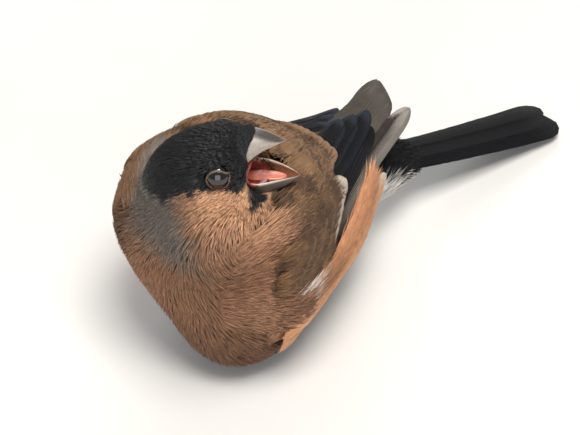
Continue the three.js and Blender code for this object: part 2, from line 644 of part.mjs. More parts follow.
for (const side of [LEFT, RIGHT]) {
  const name = side === LEFT ? "left" : "right";
  const onWing = { field: wingField, side };
  const { outer, inner, lift, fan, setBack } = WING_TIPS[name];
  const flight = [
    ...tier({ ...onWing, count: 5, roots: [[-4, 83], [2, 70]], tips: [outer, inner], fan,
      stations: stationsOf(6), halfWidth: 2.8, columns: 1,
      level: (t, share) => UNDER + 0.05 + lift * (1 - share) * easedIn(t, 0.6, 1) }), // primaries
    ...tier({ ...onWing, count: 3, roots: [[3, 67], [6, 54]], tips: [[34, 55], [31, 40]], bow: 2,
      stations: stationsOf(4), halfWidth: 3, level: () => UNDER + 0.1, columns: 1 }), // secondaries
    ...tier({ ...onWing, count: 3, roots: [[10, 48], [12, 32]], tips: [[38, 41], [31, 20]],
      stations: stationsOf(4), halfWidth: 3.6, level: () => UNDER + 0.2, columns: 1 }), // tertials
  ];
  add(`wing_${name}_flight`, union(flight), FLIGHT, 0.7);
  const onCoverts = { ...onWing, setBack };
  const coverts = [
    ...tier({ ...onCoverts, count: 1, roots: [[-14, 68], [-14, 68]], tips: [[3, 67], [3, 67]],
      stations: PATCH_STATIONS, shape: patchShape, halfWidth: 4.4, columns: 3, tilt: 0,
      level: (t) => mix(UNDER, OVER, easedIn(t, 0.1, 0.7)) }),
    ...tier({ ...onCoverts, count: 5, roots: [[1, 57], [-7.5, 77.5]], tips: [[16, 59], [1, 76]], halfWidth: 2.5,
      level: () => OVER + 0.15, columns: 1 }), // greater coverts
    ...tier({ ...onCoverts, count: 4, roots: [[-4, 58], [-12, 76]], tips: [[7, 58], [-4, 76]], halfWidth: 2.4,
      level: (t) => mix(OVER - 0.2, OVER + 0.15 + LAYER, easedIn(t, 0, 0.5)), columns: 1 }), // median coverts
    ...tier({ ...onCoverts, count: 3, roots: [[-11, 60], [-13.5, 75]], tips: [[0, 59], [-8, 75]], halfWidth: 2.7,
      level: (t) => mix(UNDER, OVER + 0.15 + 2 * LAYER, easedIn(t, 0, 0.9)), columns: 1 }), // lesser coverts
  ];
  add(`wing_${name}_coverts`, union(coverts), BACK);
  const flank = [
    ...tier({ ...onWing, count: 1, roots: [[-13, 124], [-13, 124]], tips: [[22, 128], [22, 128]],
      stations: PATCH_STATIONS, shape: patchShape, halfWidth: 3.6, columns: 2, tilt: 0, level: () => UNDER }),
    ...tier({ ...onWing, count: 6, roots: [[-12, 122], [17, 126]], tips: [[4, 89], [32, 104]],
      stations: [0, 0.16, 0.34, 0.66, 1], halfWidth: 3.7, columns: 1,
      level: (t) => mix(UNDER + 0.1, OVER + 0.1, easedIn(t, 0, 0.3)) }),
  ];
  add(`flank_${name}`, union(flank), BUFF);
}
const overBack = { field: wingField, side: LEFT };
const mantle = [
  ...tier({ ...overBack, count: 1, roots: [[4, 0], [4, 0]], tips: [[20, 0], [20, 0]],
    stations: PATCH_STATIONS, shape: patchShape, halfWidth: 10, columns: 5, tilt: 0,
    level: (t) => mix(UNDER, OVER, easedIn(t, 0.2, 0.8)) }),
  ...tier({ ...overBack, count: 7, roots: [[4, -36], [4, 36]], tips: [[18, -40], [18, 40]], halfWidth: 2.7,
    level: (t) => mix(UNDER + 0.4, OVER + 0.3, easedIn(t, 0, 0.3)), columns: 1 }),
];
add("mantle", union(mantle), BACK);
export default root;
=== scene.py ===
# %% [markdown]
# A female bullfinch, life size, crouched with her head turned back over the left shoulder and her bill open.
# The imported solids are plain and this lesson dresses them: one skin for the flesh, a coat of small feathers
# over it, vanes for wings and tail, then the bill, mouth, eyes, legs and light.

import math

import bpy
import numpy as np
from mathutils import Matrix, Vector


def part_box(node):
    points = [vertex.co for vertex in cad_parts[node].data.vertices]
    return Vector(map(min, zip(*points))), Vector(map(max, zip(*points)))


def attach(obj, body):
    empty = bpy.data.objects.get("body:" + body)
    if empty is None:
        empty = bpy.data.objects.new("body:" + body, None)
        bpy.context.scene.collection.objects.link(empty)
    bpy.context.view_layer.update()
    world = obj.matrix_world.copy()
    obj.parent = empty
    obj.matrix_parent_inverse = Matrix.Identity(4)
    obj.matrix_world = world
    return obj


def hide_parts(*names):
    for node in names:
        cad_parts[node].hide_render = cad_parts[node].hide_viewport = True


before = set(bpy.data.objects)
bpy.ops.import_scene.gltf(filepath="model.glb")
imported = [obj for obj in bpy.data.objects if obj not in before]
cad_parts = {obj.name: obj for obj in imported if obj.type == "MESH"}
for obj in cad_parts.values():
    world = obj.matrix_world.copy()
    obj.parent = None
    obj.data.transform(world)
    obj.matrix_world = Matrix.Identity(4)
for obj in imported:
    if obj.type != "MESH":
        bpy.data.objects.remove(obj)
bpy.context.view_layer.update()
MM = 0.001
LEFT, RIGHT = -1, 1
SIDES = {"left": LEFT, "right": RIGHT}
print("solids:", len(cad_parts))

# %% [markdown]
# The solids were shaped by ellipsoids that run into each other. The same ellipsoids are written here again
# in millimetres, in the bird's own frame, so that every new surface can be found from one field. The box of
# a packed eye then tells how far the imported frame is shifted. The head has axes of its own, because it is
# turned and lifted, and the tail has its own too, because it is skewed.

# %% Axes of the head and of the tail


def way(*xyz):
    """A direction as an array."""
    return np.array(xyz, float)


def unit(v):
    """The same direction with length one, for one vector or for rows of them."""
    return v / np.maximum(np.linalg.norm(v, axis=-1, keepdims=True), 1e-9)


HEAD_CENTRE = way(-11.5, -1.5, 57)
HEAD_TURN, HEAD_LIFT = np.radians(123), np.radians(28)
head_level_way = way(-np.cos(HEAD_TURN), -np.sin(HEAD_TURN), 0)
head_forward = head_level_way * np.cos(HEAD_LIFT) + way(0, 0, np.sin(HEAD_LIFT))
head_right = unit(np.cross(head_forward, way(0, 0, 1)))
head_up = np.cross(head_right, head_forward)
HEAD_AXES = np.array([head_forward, head_up, head_right])


def head_way(forward, up, right):
    """A direction given along the bill, up through the crown and out through the right eye."""
    return np.stack(np.broadcast_arrays(forward, up, right), -1) @ HEAD_AXES


def head_point(forward, up, right):
    """A place given from the middle of the head, along the head's own axes."""
    return HEAD_CENTRE + head_way(forward, up, right)


def in_head(points):
    """Places along the head's own axes: how far forward, up and right."""
    return (points - HEAD_CENTRE) @ HEAD_AXES.T


def nosed_down(degrees):
    """The head's axes with the nose dropped by an angle."""
    a = np.radians(degrees)
    return np.array([head_way(np.cos(a), -np.sin(a), 0), head_way(np.sin(a), np.cos(a), 0), head_right])


TAIL_ROOT = way(36, -3, 19.6)
TAIL_LENGTH, TAIL_FALL, TAIL_SAG = 65.5, 17.6, 0.22
TAIL_SKEW = np.radians(16.5)
TAIL_RUN = math.sqrt(TAIL_LENGTH**2 - TAIL_FALL**2)
tail_level_way = way(np.cos(TAIL_SKEW), -np.sin(TAIL_SKEW), 0)


def tail_middle(t):
    """The tail's middle line from root (0) to tip (1), which falls less and less steeply."""
    t = np.asarray(t, float)[..., None]
    return TAIL_ROOT + tail_level_way * TAIL_RUN * t - way(0, 0, 1) * TAIL_FALL * t * (1 + TAIL_SAG * (1 - t))


tail_along = unit(tail_middle(0.1) - tail_middle(0.0))
tail_across = unit(np.cross(way(0, 0, 1), tail_level_way))
tail_up = np.cross(tail_along, tail_across)
TAIL_AXES = np.array([tail_along, tail_across, tail_up])

# %% The ellipsoids that the body is made of

LEVEL_AXES = np.eye(3)


def pitched(degrees):
    """Level axes with the front tipped up by an angle."""
    a = np.radians(degrees)
    return np.array([[np.cos(a), 0, -np.sin(a)], [0, 1, 0], [np.sin(a), 0, np.cos(a)]])


LOWER_BILL_DROP = 28.5
TORSO = [
    (way(-5, 0, 30), (23, 22, 24), LEVEL_AXES),
    (way(-11, 9, 35), (15.5, 14, 12.8), LEVEL_AXES),
    (way(-10, -7, 15.5), (15, 14.5, 17), LEVEL_AXES),
    (way(5, -7.4, 21), (24, 12.6, 18), LEVEL_AXES),
    (way(12, -0.6, 25), (26, 15.8, 15.2), pitched(12)),
    (way(31, -2.8, 19.5), (14, 8.8, 8.3), pitched(5)),
]
TAIL_COVERTS = [(TAIL_ROOT - 2 * tail_along - 1.2 * tail_up, (27, 9, 8.2), TAIL_AXES)]
NECK = [(way(-14, -5.5, 43.5), (14.5, 15, 12.5), LEVEL_AXES)]
HEAD = [
    (head_point(-3.2, -1.3, 0), (13.4, 8.9, 10), HEAD_AXES),
    (head_point(3.6, -1.6, 0), (6.8, 6.9, 7), HEAD_AXES),
    (head_point(3.2, -7.2, 0), (6.4, 4.8, 5.4), nosed_down(LOWER_BILL_DROP)),
]
WING_REST = [(way(24, -5.8, 31), (33, 8, 7), LEVEL_AXES)]
BLEND = 6.0


def packed(forms):
    """Centres, half sizes and axes of some ellipsoids as three arrays."""
    return tuple(np.array([f[i] for f in forms], float) for i in range(3))


def field(points, forms):
    """Near enough the distance to the forms' surface, negative inside: for each ellipsoid k (k - 1) / s,
    with k the scaled distance from its centre and s the slope of that, and neighbours run together."""
    centres, halves, axes = forms
    found = None
    for centre, half, axis in zip(centres, halves, axes):
        t = (points - centre) @ axis.T
        reach = np.sqrt(((t / half) ** 2).sum(-1))
        slope = np.sqrt(((t / half**2) ** 2).sum(-1))
        distance = reach * (reach - 1) / np.maximum(slope, 1e-6)
        if found is None:
            found = distance
        else:
            near = np.maximum(BLEND - np.abs(found - distance), 0)
            found = np.minimum(found, distance) - near**2 / (4 * BLEND)
    return found


HEAD_ALONE = packed(HEAD)
PLUMAGE = packed(TORSO + TAIL_COVERTS + NECK + HEAD)
WINGED = packed(TORSO + TAIL_COVERTS + NECK + WING_REST)


STEP = 0.04


def growth(points, forms):
    """Which way the field grows and how fast: differences of the field over a small step each way."""
    here = field(points, forms)
    return here, np.stack([(field(points + s, forms) - here) / STEP for s in np.eye(3) * STEP], -1)


def on_level(points, forms, level, turns=3):
    """The nearest places where the field has a given level, by Newton's steps along its growth."""
    level = np.broadcast_to(level, points.shape[:-1])
    for _ in range(turns):
        here, slope = growth(points, forms)
        points = points + slope * ((level - here) / np.maximum((slope**2).sum(-1), 1e-6))[..., None]
    return points


def out_from(points, forms):
    """The outward normal of the field."""
    return unit(growth(points, forms)[1])


def eased(x, low, high):
    """0 below low, 1 above high and a smooth ramp between, also for low above high."""
    t = np.clip((x - low) / (high - low), 0, 1)
    return t * t * (3 - 2 * t)


def mixed(a, b, t):
    """From a to b as t goes from 0 to 1."""
    return a + (b - a) * t


def turn_round(count):
    """Angles evenly round a circle."""
    return np.linspace(0, 2 * np.pi, count, endpoint=False)


def by_head(points, far, near):
    """0 where a place is further than one distance from the head alone, 1 where it is nearer than another."""
    return eased(field(points, HEAD_ALONE), far, near)


EYE_PLACE, EYE_WAY, EYE_RADIUS = (3, 0.7, 6.7), (0.14, 0.06, 1), 2.9


def eye_centre(side):
    """The middle of an eyeball."""
    return head_point(EYE_PLACE[0], EYE_PLACE[1], side * EYE_PLACE[2])


def eye_way(side):
    """Which way an eye looks."""
    return unit(head_way(EYE_WAY[0], EYE_WAY[1], side * EYE_WAY[2]))


eye_low, eye_high = (np.array(corner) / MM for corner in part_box("eye_right"))
FRAME_SHIFT = (eye_low + eye_high) / 2 - eye_centre(RIGHT)
print("shift to the packed frame, mm:", FRAME_SHIFT.round(2))

# %% [markdown]
# Places on the back and wings are easiest to say as a distance along the body and an angle down from the
# ridge of the back. A ray from the body's axis at that angle finds the surface, by halving.

# %% Places round the body

AXIS_Y = -2.0


def body_axis(x):
    """The line inside the body that the angles are taken round."""
    return np.stack([x, np.full_like(x, AXIS_Y), mixed(27, 33, np.clip(x / 54, 0, 1))], -1)


def body_place(x, angle, side, level=1.0):
    """The place on the winged body at a distance x and an angle in degrees down from the ridge."""
    x, angle = np.broadcast_arrays(np.asarray(x, float), np.radians(angle))
    inner = body_axis(x)
    direction = np.stack([np.zeros_like(x), side * np.sin(angle), np.cos(angle)], -1)
    near, far = np.zeros_like(x), np.full_like(x, 34.0)
    for _ in range(18):
        middle = (near + far) / 2
        inside = field(inner + direction * middle[..., None], WINGED) < level
        near, far = np.where(inside, middle, near), np.where(inside, far, middle)
    return inner + direction * far[..., None]


def round_body(points):
    """Distance along the body and degrees down from the ridge, for places anywhere."""
    from_axis = points - body_axis(points[..., 0])
    return points[..., 0], np.degrees(np.arctan2(np.abs(from_axis[..., 1]), from_axis[..., 2]))


# %% [markdown]
# Every piece becomes a mesh in one helper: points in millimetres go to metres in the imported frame, the
# object stays at the origin, and colour goes in as an attribute that the material reads. Vertex colour
# keeps the markings on the feathers themselves, so that a border is as ragged as real plumage.

# %% Making pieces


def linear(red, green, blue):
    """A colour named by its screen values, as the light it stands for."""
    c = np.array([red, green, blue], float) / 255
    return np.where(c <= 0.04045, c / 12.92, ((c + 0.055) / 1.055) ** 2.4)


GROUND = 0.02  # nothing reaches lower


def piece(name, points, faces, material, colour=None, uvs=None, stands_for=()):
    """A mesh of the given faces, all of one size or a list of such arrays, as a finished piece."""
    groups = faces if isinstance(faces, list) else [faces]
    loops = np.concatenate([g.ravel() for g in groups])
    sizes = np.concatenate([np.full(len(g), g.shape[1]) for g in groups])
    mesh = bpy.data.meshes.new(name)
    points = np.c_[points[:, :2], np.maximum(points[:, 2], GROUND)]
    mesh.vertices.add(len(points))
    mesh.vertices.foreach_set("co", ((points + FRAME_SHIFT) * MM).astype(np.float32).ravel())
    mesh.loops.add(len(loops))
    mesh.loops.foreach_set("vertex_index", loops.astype(np.int32))
    mesh.polygons.add(len(sizes))
    mesh.polygons.foreach_set("loop_start", (np.cumsum(sizes) - sizes).astype(np.int32))
    if colour is not None:
        layer = mesh.color_attributes.new("plumage_colour", "FLOAT_COLOR", "POINT")
        layer.data.foreach_set("color", np.c_[colour, np.ones(len(colour))].astype(np.float32).ravel())
    for uv_name, uv in (uvs or {}).items():
        layer = mesh.uv_layers.new(name=uv_name)
        layer.data.foreach_set("uv", uv[loops].astype(np.float32).ravel())
    mesh.polygons.foreach_set("use_smooth", np.ones(len(sizes), bool))
    mesh.update(calc_edges=True)
    mesh.materials.append(material)
    made = bpy.data.objects.new(name, mesh)
    bpy.context.scene.collection.objects.link(made)
    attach(made, "root")
    if stands_for:
        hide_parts(*stands_for)
    print(f"{name}: {len(points)} points, {int((sizes - 2).sum())} triangles")
    return made


def face_out(points, groups):
    """The same faces, turned round if they enclose a negative volume."""
    volume = 0.0
    for g in groups:
        for k in range(1, g.shape[1] - 1):
            a, b, c = points[g[:, 0]], points[g[:, k]], points[g[:, k + 1]]
            volume += (a * np.cross(b, c)).sum()
    return groups if volume > 0 else [g[:, ::-1] for g in groups]


def tube_faces(rings, size, endless=False):
    """Quads between rings of equal counts; in an endless tube the last ring meets the first."""
    i, j = np.meshgrid(np.arange(rings if endless else rings - 1), np.arange(size), indexing="ij")
    here, after, k = i * size, (i + 1) % rings * size, (j + 1) % size
    return np.stack([here + j, here + k, after + k, after + j], -1).reshape(-1, 4)


def closed_tube(rings):
    """A grid of rings (rings x size x 3) closed at both ends by a fan to a middle point, facing out."""
    count, size = rings.shape[:2]
    points = np.concatenate([rings.reshape(-1, 3), rings[0].mean(0)[None], rings[-1].mean(0)[None]])
    middle, last_ring = np.full(size, count * size), (count - 1) * size
    j = np.arange(size)
    k = (j + 1) % size
    caps = np.concatenate([np.stack([middle, k, j], -1),
                           np.stack([middle + 1, last_ring + j, last_ring + k], -1)])
    return points, face_out(points, [tube_faces(count, size), caps])


# %% [markdown]
# Feathers, horn and skin each need their own finish. Plumage reads its colour attribute and adds fine
# mottling and a soft sheen; the stronger feathers also get fine ribs across the vane, which follow the
# vane's own map. Horn is smooth with a faint mottle, and the mouth and the eye are wet.

# %% Materials


def shader(name, **settings):
    """A new material with its shader's sockets set, and a helper that adds a node to it."""
    material = bpy.data.materials.new(name)
    material.use_nodes = True
    tree = material.node_tree
    surface = tree.nodes["Principled BSDF"]
    for socket, value in settings.items():
        surface.inputs[socket.replace("_", " ")].default_value = value

    def node(kind, inputs, feeds=None, **values):
        """A node with its inputs linked or set; where it feeds the shader, its output and the socket."""
        made = tree.nodes.new("ShaderNode" + kind)
        for key, value in values.items():
            setattr(made, key, value)
        for key, value in inputs.items():
            if isinstance(value, bpy.types.NodeSocket):
                tree.links.new(value, made.inputs[key])
            else:
                made.inputs[key].default_value = value
        if feeds:
            tree.links.new(made.outputs[feeds[0]], surface.inputs[feeds[1]])
        return made

    return material, node


RIB_SLANT, RIB_COUNT, RIB_HEIGHT, RELIEF_HEIGHT = -0.16, 70, 0.0002, 0.0003


def plumage_material(name, roughness, mottle=0.35, scale=900, ribs=0.0, gloss=0.12, sheen=0.04):
    """Feather colour from the attribute, mottled by noise on the object's own coordinates; ribs are a bump
    of fine slanting lines on the vane's map, one for each bundle of barbs."""
    material, node = shader(
        name, Roughness=roughness, Specular_IOR_Level=gloss, Sheen_Weight=sheen, Sheen_Roughness=0.5)
    colour = node("Attribute", {}, attribute_name="plumage_colour").outputs["Color"]
    place = node("TexCoord", {}).outputs["Object"]
    noise = node("TexNoise", {"Vector": place, "Scale": scale, "Detail": 3.0}).outputs["Fac"]
    spread = node("MapRange", {"Value": noise, "To Min": 1 - mottle, "To Max": 1 + mottle}).outputs["Result"]
    node("VectorMath", {0: colour, "Scale": spread}, ("Vector", "Base Color"), operation="SCALE")
    if ribs:
        lie = node("UVMap", {}, uv_map="vane").outputs["UV"]
        split = node("SeparateXYZ", {"Vector": lie}).outputs
        side = node("Math", {0: split["X"]}, operation="ABSOLUTE").outputs[0]
        slant = node("Math", {0: side, 1: RIB_SLANT, 2: split["Y"]}, operation="MULTIPLY_ADD").outputs[0]
        wave = node("Math", {0: slant, 1: RIB_COUNT * 2 * math.pi}, operation="MULTIPLY").outputs[0]
        sine = node("Math", {0: wave}, operation="SINE").outputs[0]
        node("Bump", {"Height": sine, "Strength": ribs, "Distance": RIB_HEIGHT}, ("Normal", "Normal"))
    return material


def stained_material(name, dark, light, scale, roughness, bump=0.15, gloss=0.5, **settings):
    """Two tones mixed by noise, with a light bump from the same noise."""
    material, node = shader(name, Roughness=roughness, Specular_IOR_Level=gloss, **settings)
    place = node("TexCoord", {}).outputs["Object"]
    noise = node("TexNoise", {"Vector": place, "Scale": scale, "Detail": 4.0}).outputs["Fac"]
    ramp = node("ValToRGB", {"Fac": noise}, ("Color", "Base Color")).color_ramp
    for element, position, tone in zip(ramp.elements, (0.35, 0.7), (dark, light)):
        element.position, element.color = position, (*linear(*tone), 1)
    node("Bump", {"Height": noise, "Strength": bump, "Distance": RELIEF_HEIGHT}, ("Normal", "Normal"))
    return material


COAT = plumage_material("soft_plumage", 0.85, mottle=0.28, scale=700)
CAP_COAT = plumage_material("glossy_cap_plumage", 0.45, mottle=0.3, scale=700, gloss=0.5, sheen=0.0)
VANES = plumage_material("vane_plumage", 0.55, mottle=0.2, scale=500, ribs=0.5, gloss=0.12, sheen=0.0)
SKIN = plumage_material("skin_under_plumage", 0.9, mottle=0.2)
EYE = stained_material("wet_dark_eye", (8, 6, 6), (20, 13, 10), 900, 0.04, bump=0.0, gloss=0.9)
LID = stained_material("bare_lid_skin", (58, 46, 40), (112, 92, 78), 2500, 0.55, bump=0.4)
MOUTH = stained_material(
    "wet_mouth_lining", (96, 24, 24), (176, 74, 68), 420, 0.25, bump=0.35, Coat_Weight=0.4)
TONGUE = stained_material(
    "wet_tongue", (196, 100, 80), (222, 138, 112), 700, 0.28, bump=0.25, Coat_Weight=0.4)
LEG = stained_material("scaled_leg_skin", (70, 50, 42), (118, 88, 74), 1500, 0.5, bump=0.5)
CLAW = stained_material("dark_claw_horn", (34, 27, 24), (66, 54, 47), 700, 0.3)

# %% [markdown]
# Markings are worked out from the place of each feather's root. The cap ends on a line that dips from the
# nape to the bill and passes just under the eye, and the chin is black too. Behind the cheek the nape is
# grey, the underside is pinkish brown, the back is brown, and the vent and rump are white.

# %% Markings

BLACK_CAP = linear(34, 33, 35)
GREY_NAPE = linear(121, 118, 112)
CHEEK = linear(222, 172, 134)
BREAST = linear(164, 122, 94)
# darker tone of the low body: painted shade under the body, which is lit from above
BELLY_PAINTED_SHADE = linear(134, 100, 78)
FLANK = linear(205, 150, 112)
BROWN_BACK = linear(143, 109, 79)
# real shoulder brown, also used as painted shade on the far (right) side
SHOULDER_BROWN_AND_SHADE = linear(120, 90, 66)
WHITE = linear(236, 232, 226)
TAIL_BLACK = linear(16, 16, 18)


# The cap's lower border as places forward of and above the middle of the head, and the black chin's middle
# and half sizes in the same way
BORDER_FORWARD = [-14, -10, -6, -3.4, -1, 3.4, 7.5, 10.7]
BORDER_UP = [1, -0.3, 0.8, -0.1, -0.5, -2.6, -4.8, -7.6]
CHIN_MIDDLE, CHIN_HALF = (11.2, -7.6), (5.2, 3.4)


def waves(points, size, seed):
    """Smooth noise from -1 to 1: sines in six seeded directions, each about as long as the given size."""
    rng = np.random.default_rng(seed)
    directions = unit(rng.normal(size=(6, 3))) * (2 * np.pi / size) * rng.uniform(0.7, 1.4, (6, 1))
    phases = rng.uniform(0, 2 * np.pi, 6)
    return np.sin(points @ directions.T + phases).sum(-1) / 2.6


def blend(base, other, share):
    """One colour laid over another by a share from 0 to 1."""
    return base + (other - base) * share[..., None]


def markings(points):
    """The plumage's colour at each place, and how far it belongs to the black cap or chin."""
    forward, up, _ = np.moveaxis(in_head(points), -1, 0)
    x, angle = round_body(points)
    z = points[..., 2]
    edge = 0.5 * waves(points, 4, 1) + 0.35 * waves(points, 1.6, 2)
    near_head = by_head(points, 7.0, 3.5)
    # Lower down the colour darkens towards the floor: painted shade under the body.
    colour = blend(BREAST, BELLY_PAINTED_SHADE, eased(z + 2 * edge, 26, 8))
    colour = blend(colour, CHEEK, eased(z + edge, 43, 55) * eased(forward, -9, -1))
    grey = eased(forward + 1.5 * edge, -4.5, -11) * eased(z, 34, 44)
    colour = blend(colour, GREY_NAPE, grey * 0.85)
    behind = eased(x + edge, -6, 2) * eased(angle + 3 * edge, 100, 86)
    # On the far (right) side the upper flank turns to the shoulder's brown: partly real brown, partly painted
    # shade where that side turns away from the light.
    shoulder = eased(angle + 4 * edge, 92, 80) * eased(points[..., 1], 9, 14) * eased(z, 24, 32)
    colour = blend(colour, SHOULDER_BROWN_AND_SHADE, np.maximum(behind, shoulder) * (1 - near_head))
    colour = blend(colour, BROWN_BACK, eased(x, -4, 4) * eased(angle, 60, 50) * (1 - near_head))
    flank = eased(x + edge, -4, 8) * eased(angle, 92, 100) * eased(angle, 150, 120) * eased(x, 40, 30)
    colour = blend(colour, FLANK, flank * 0.75)
    vent = eased(x + edge, 24, 31) * eased(angle, 96, 106)
    rump = eased(x + edge, 23, 26) * eased(angle, 100, 90)
    colour = blend(colour, WHITE, np.maximum(vent, rump))
    over_tail = (points - TAIL_ROOT) @ tail_up + 0.8 * edge
    upper_tail = eased((points - TAIL_ROOT) @ tail_along, -4, -1) * eased(over_tail, -2.1, -1.3)
    colour = blend(colour, TAIL_BLACK, upper_tail)
    border = np.interp(forward, BORDER_FORWARD, BORDER_UP)
    cap = eased(up - border + 0.5 * edge, -0.45, 0.35) * near_head
    off_chin = ((forward - CHIN_MIDDLE[0]) / CHIN_HALF[0]) ** 2 + ((up - CHIN_MIDDLE[1]) / CHIN_HALF[1]) ** 2
    chin = eased(off_chin + 0.15 * edge, 1.15, 0.9) * by_head(points, 10, 7.5)
    black = np.maximum(cap, chin)
    return np.clip(blend(colour, BLACK_CAP, black), 0, 1), black


# %% [markdown]
# Under the feathers lies one skin. The body is bent and the head turned, so no single set of rings wraps it
# well. Instead the field is sampled on a regular lattice, each cell that the surface crosses gets one point
# at the middle of its crossings, neighbouring points make squares, and Newton's steps then lay every point
# exactly on the skin's level. The mouth is hollowed from the same field.

# %% Skin

BILL_REACH, BILL_HALF_WIDTH = 17.6, 4.3
GAPE_HEIGHT, CHIN_HEIGHT, CULMEN_HEIGHT = -2.4, -7.8, 4.0
UPPER_BILL_RAISE = 8
GAPE_CENTRE = -5.23


def swung(forward, up, pivot, degrees):
    """A place in the head's upright plane, turned about a pivot."""
    a = np.radians(degrees)
    f, u = forward - pivot[0], up - pivot[1]
    return pivot[0] + f * np.cos(a) - u * np.sin(a), pivot[1] + f * np.sin(a) + u * np.cos(a)


MOUTH_HOLLOW = packed([
    (head_point(13, GAPE_CENTRE, 0), (7.6, 4.3, 7.6), nosed_down(12)),
    (head_point(11, GAPE_CENTRE, 0), (9.0, 3.8, 4.9), nosed_down(12)),
    (head_point(12.6, -9.6, 0), (6.4, 2.4, 4.6), nosed_down(LOWER_BILL_DROP)),
])


def near_eye(points, inner, outer):
    """1 within a radius of either eye's axis, fading to 0 at a larger one."""
    share = np.zeros(points.shape[:-1])
    for side in (LEFT, RIGHT):
        from_eye = points - eye_centre(side)
        height = from_eye @ eye_way(side)
        away = np.linalg.norm(from_eye - height[..., None] * eye_way(side), axis=-1)
        share = np.maximum(share, eased(away, outer, inner) * (height > 0))
    return share


def coat_depth(points):
    """How far the skin lies under the coat: thin on the face, thicker on the body."""
    face = eased(in_head(points)[..., 0], -2, 8)
    return mixed(1.9, mixed(1.1, 0.6, face), by_head(points, 6.0, 1.0)) + 0.9 * near_eye(points, 2.6, 4.2)


def skin_field(points):
    """The plumage's field taken in by the coat's depth, with the mouth hollowed out."""
    return np.maximum(field(points, PLUMAGE) + coat_depth(points), -field(points, MOUTH_HOLLOW))


SKIN_LOW, SKIN_HIGH, SKIN_CELL, SKIN_FLOOR = way(-31, -29, -3), way(60, 29, 70), 1.25, 0.15


def skin_mesh(low, high, cell):
    """Surface nets of the skin field: lattice cells that change sign hold one point, and each lattice edge
    that changes sign joins the four cells round it by a square."""
    counts = np.ceil((high - low) / cell).astype(int)
    axes = [low[i] + cell * np.arange(counts[i]) for i in range(3)]
    lattice = np.stack(np.meshgrid(*axes, indexing="ij"), -1)
    value = np.concatenate([skin_field(slab) for slab in np.array_split(lattice, 12)])
    inside = value < 0
    total, crossings = np.zeros((*(counts - 1), 3)), np.zeros(counts - 1)
    for axis in range(3):
        a = np.take(value, np.arange(counts[axis] - 1), axis)
        b = np.take(value, np.arange(1, counts[axis]), axis)
        crossed = (a < 0) != (b < 0)
        share = np.where(crossed, a / np.where(crossed, a - b, 1), 0)
        start = np.take(lattice, np.arange(counts[axis] - 1), axis)
        place = start + share[..., None] * cell * np.eye(3)[axis]
        others = [i for i in range(3) if i != axis]
        for p in (0, 1):
            for q in (0, 1):
                cut = [slice(None)] * 3
                cut[others[0]] = slice(p, counts[others[0]] - 1 + p)
                cut[others[1]] = slice(q, counts[others[1]] - 1 + q)
                hit = crossed[tuple(cut)]
                total += place[tuple(cut)] * hit[..., None]
                crossings += hit
    held = crossings > 0
    number = np.full(held.shape, -1)
    number[held] = np.arange(held.sum())
    points = total[held] / crossings[held][:, None]
    quads = []
    for axis in range(3):
        others = [i for i in range(3) if i != axis]
        cut = [slice(1, -1)] * 3
        cut[axis] = slice(0, counts[axis] - 1)
        a = inside[tuple(cut)]
        cut[axis] = slice(1, counts[axis])
        b = inside[tuple(cut)]
        index = np.argwhere(a != b)
        leaves = a[tuple(index.T)]
        index[:, others] += 1
        corners = []
        for p, q in ((0, 0), (1, 0), (1, 1), (0, 1)):
            cell_index = index.copy()
            cell_index[:, others[0]] -= 1 - p
            cell_index[:, others[1]] -= 1 - q
            corners.append(number[tuple(cell_index.T)])
        made = np.stack(corners, -1)
        turned = leaves if axis != 1 else ~leaves
        quads.append(np.where(turned[:, None], made, made[:, ::-1]))
    return points, np.concatenate(quads)


def on_skin(points):
    """Newton's steps on to the skin, with the slope from small differences."""
    for _ in range(3):
        here = skin_field(points)
        slope = np.stack([(skin_field(points + s) - here) / STEP for s in np.eye(3) * STEP], -1)
        move = slope * (here / np.maximum((slope**2).sum(-1), 0.05))[:, None]
        points = points - np.clip(move, -0.6, 0.6)
    return points


skin_points, skin_quads = skin_mesh(SKIN_LOW, SKIN_HIGH, SKIN_CELL)
skin_points = on_skin(skin_points)
skin_points[:, 2] = np.maximum(skin_points[:, 2], SKIN_FLOOR)
SKIN_NODES = ("torso", "rump", "neck", "crown", "cheeks", "uppertail_coverts", "undertail_coverts")
# The skin takes the plumage's colours at 0.6 of their brightness: painted shade for the depth of the coat
# between the barbs.
piece("skin", skin_points, skin_quads, SKIN, markings(skin_points)[0] * 0.6,
      stands_for=SKIN_NODES)

# %% [markdown]
# A vane is a thin closed sheet with a raised shaft down its middle. Each lies on a level of the field that
# includes the folded wings, tipped a little so that its edge tucks under the next, as shingles do. The width
# swells from the root and ends round; small nicks along the edge stand for barbs that have parted.

# %% Building vanes

SHINGLE = 0.16  # how far a vane's edge tips under the next
CAD_VANE = 0.52  # thickness of a vane in the solids
SHAFT_HALF, SHAFT_HEIGHT = 0.03, 0.14
COLUMNS = np.array([-1, -0.74, -0.42, -0.14, -0.05, 0, 0.05, 0.14, 0.42, 0.74, 1])
TIP_ROWS = 7


def vane_rows(rows):
    """Places along a feather from 0 to 1: even along the blade and close together round the tip."""
    tip = 0.8 + 0.2 * np.sin(np.linspace(0, np.pi / 2, TIP_ROWS))
    return np.r_[np.linspace(0, 0.8, rows - TIP_ROWS, endpoint=False), tip]


def blade(t, narrow=0.45, round_from=0.7):
    """Share of the full width: narrow at the root, and a rounded end from the given place on."""
    tip = np.maximum(0, (t - round_from) / (1 - round_from))
    return mixed(narrow, 1, eased(t, 0, 0.35)) * np.sqrt(np.clip(1 - tip**2.3, 0.0008, 1))


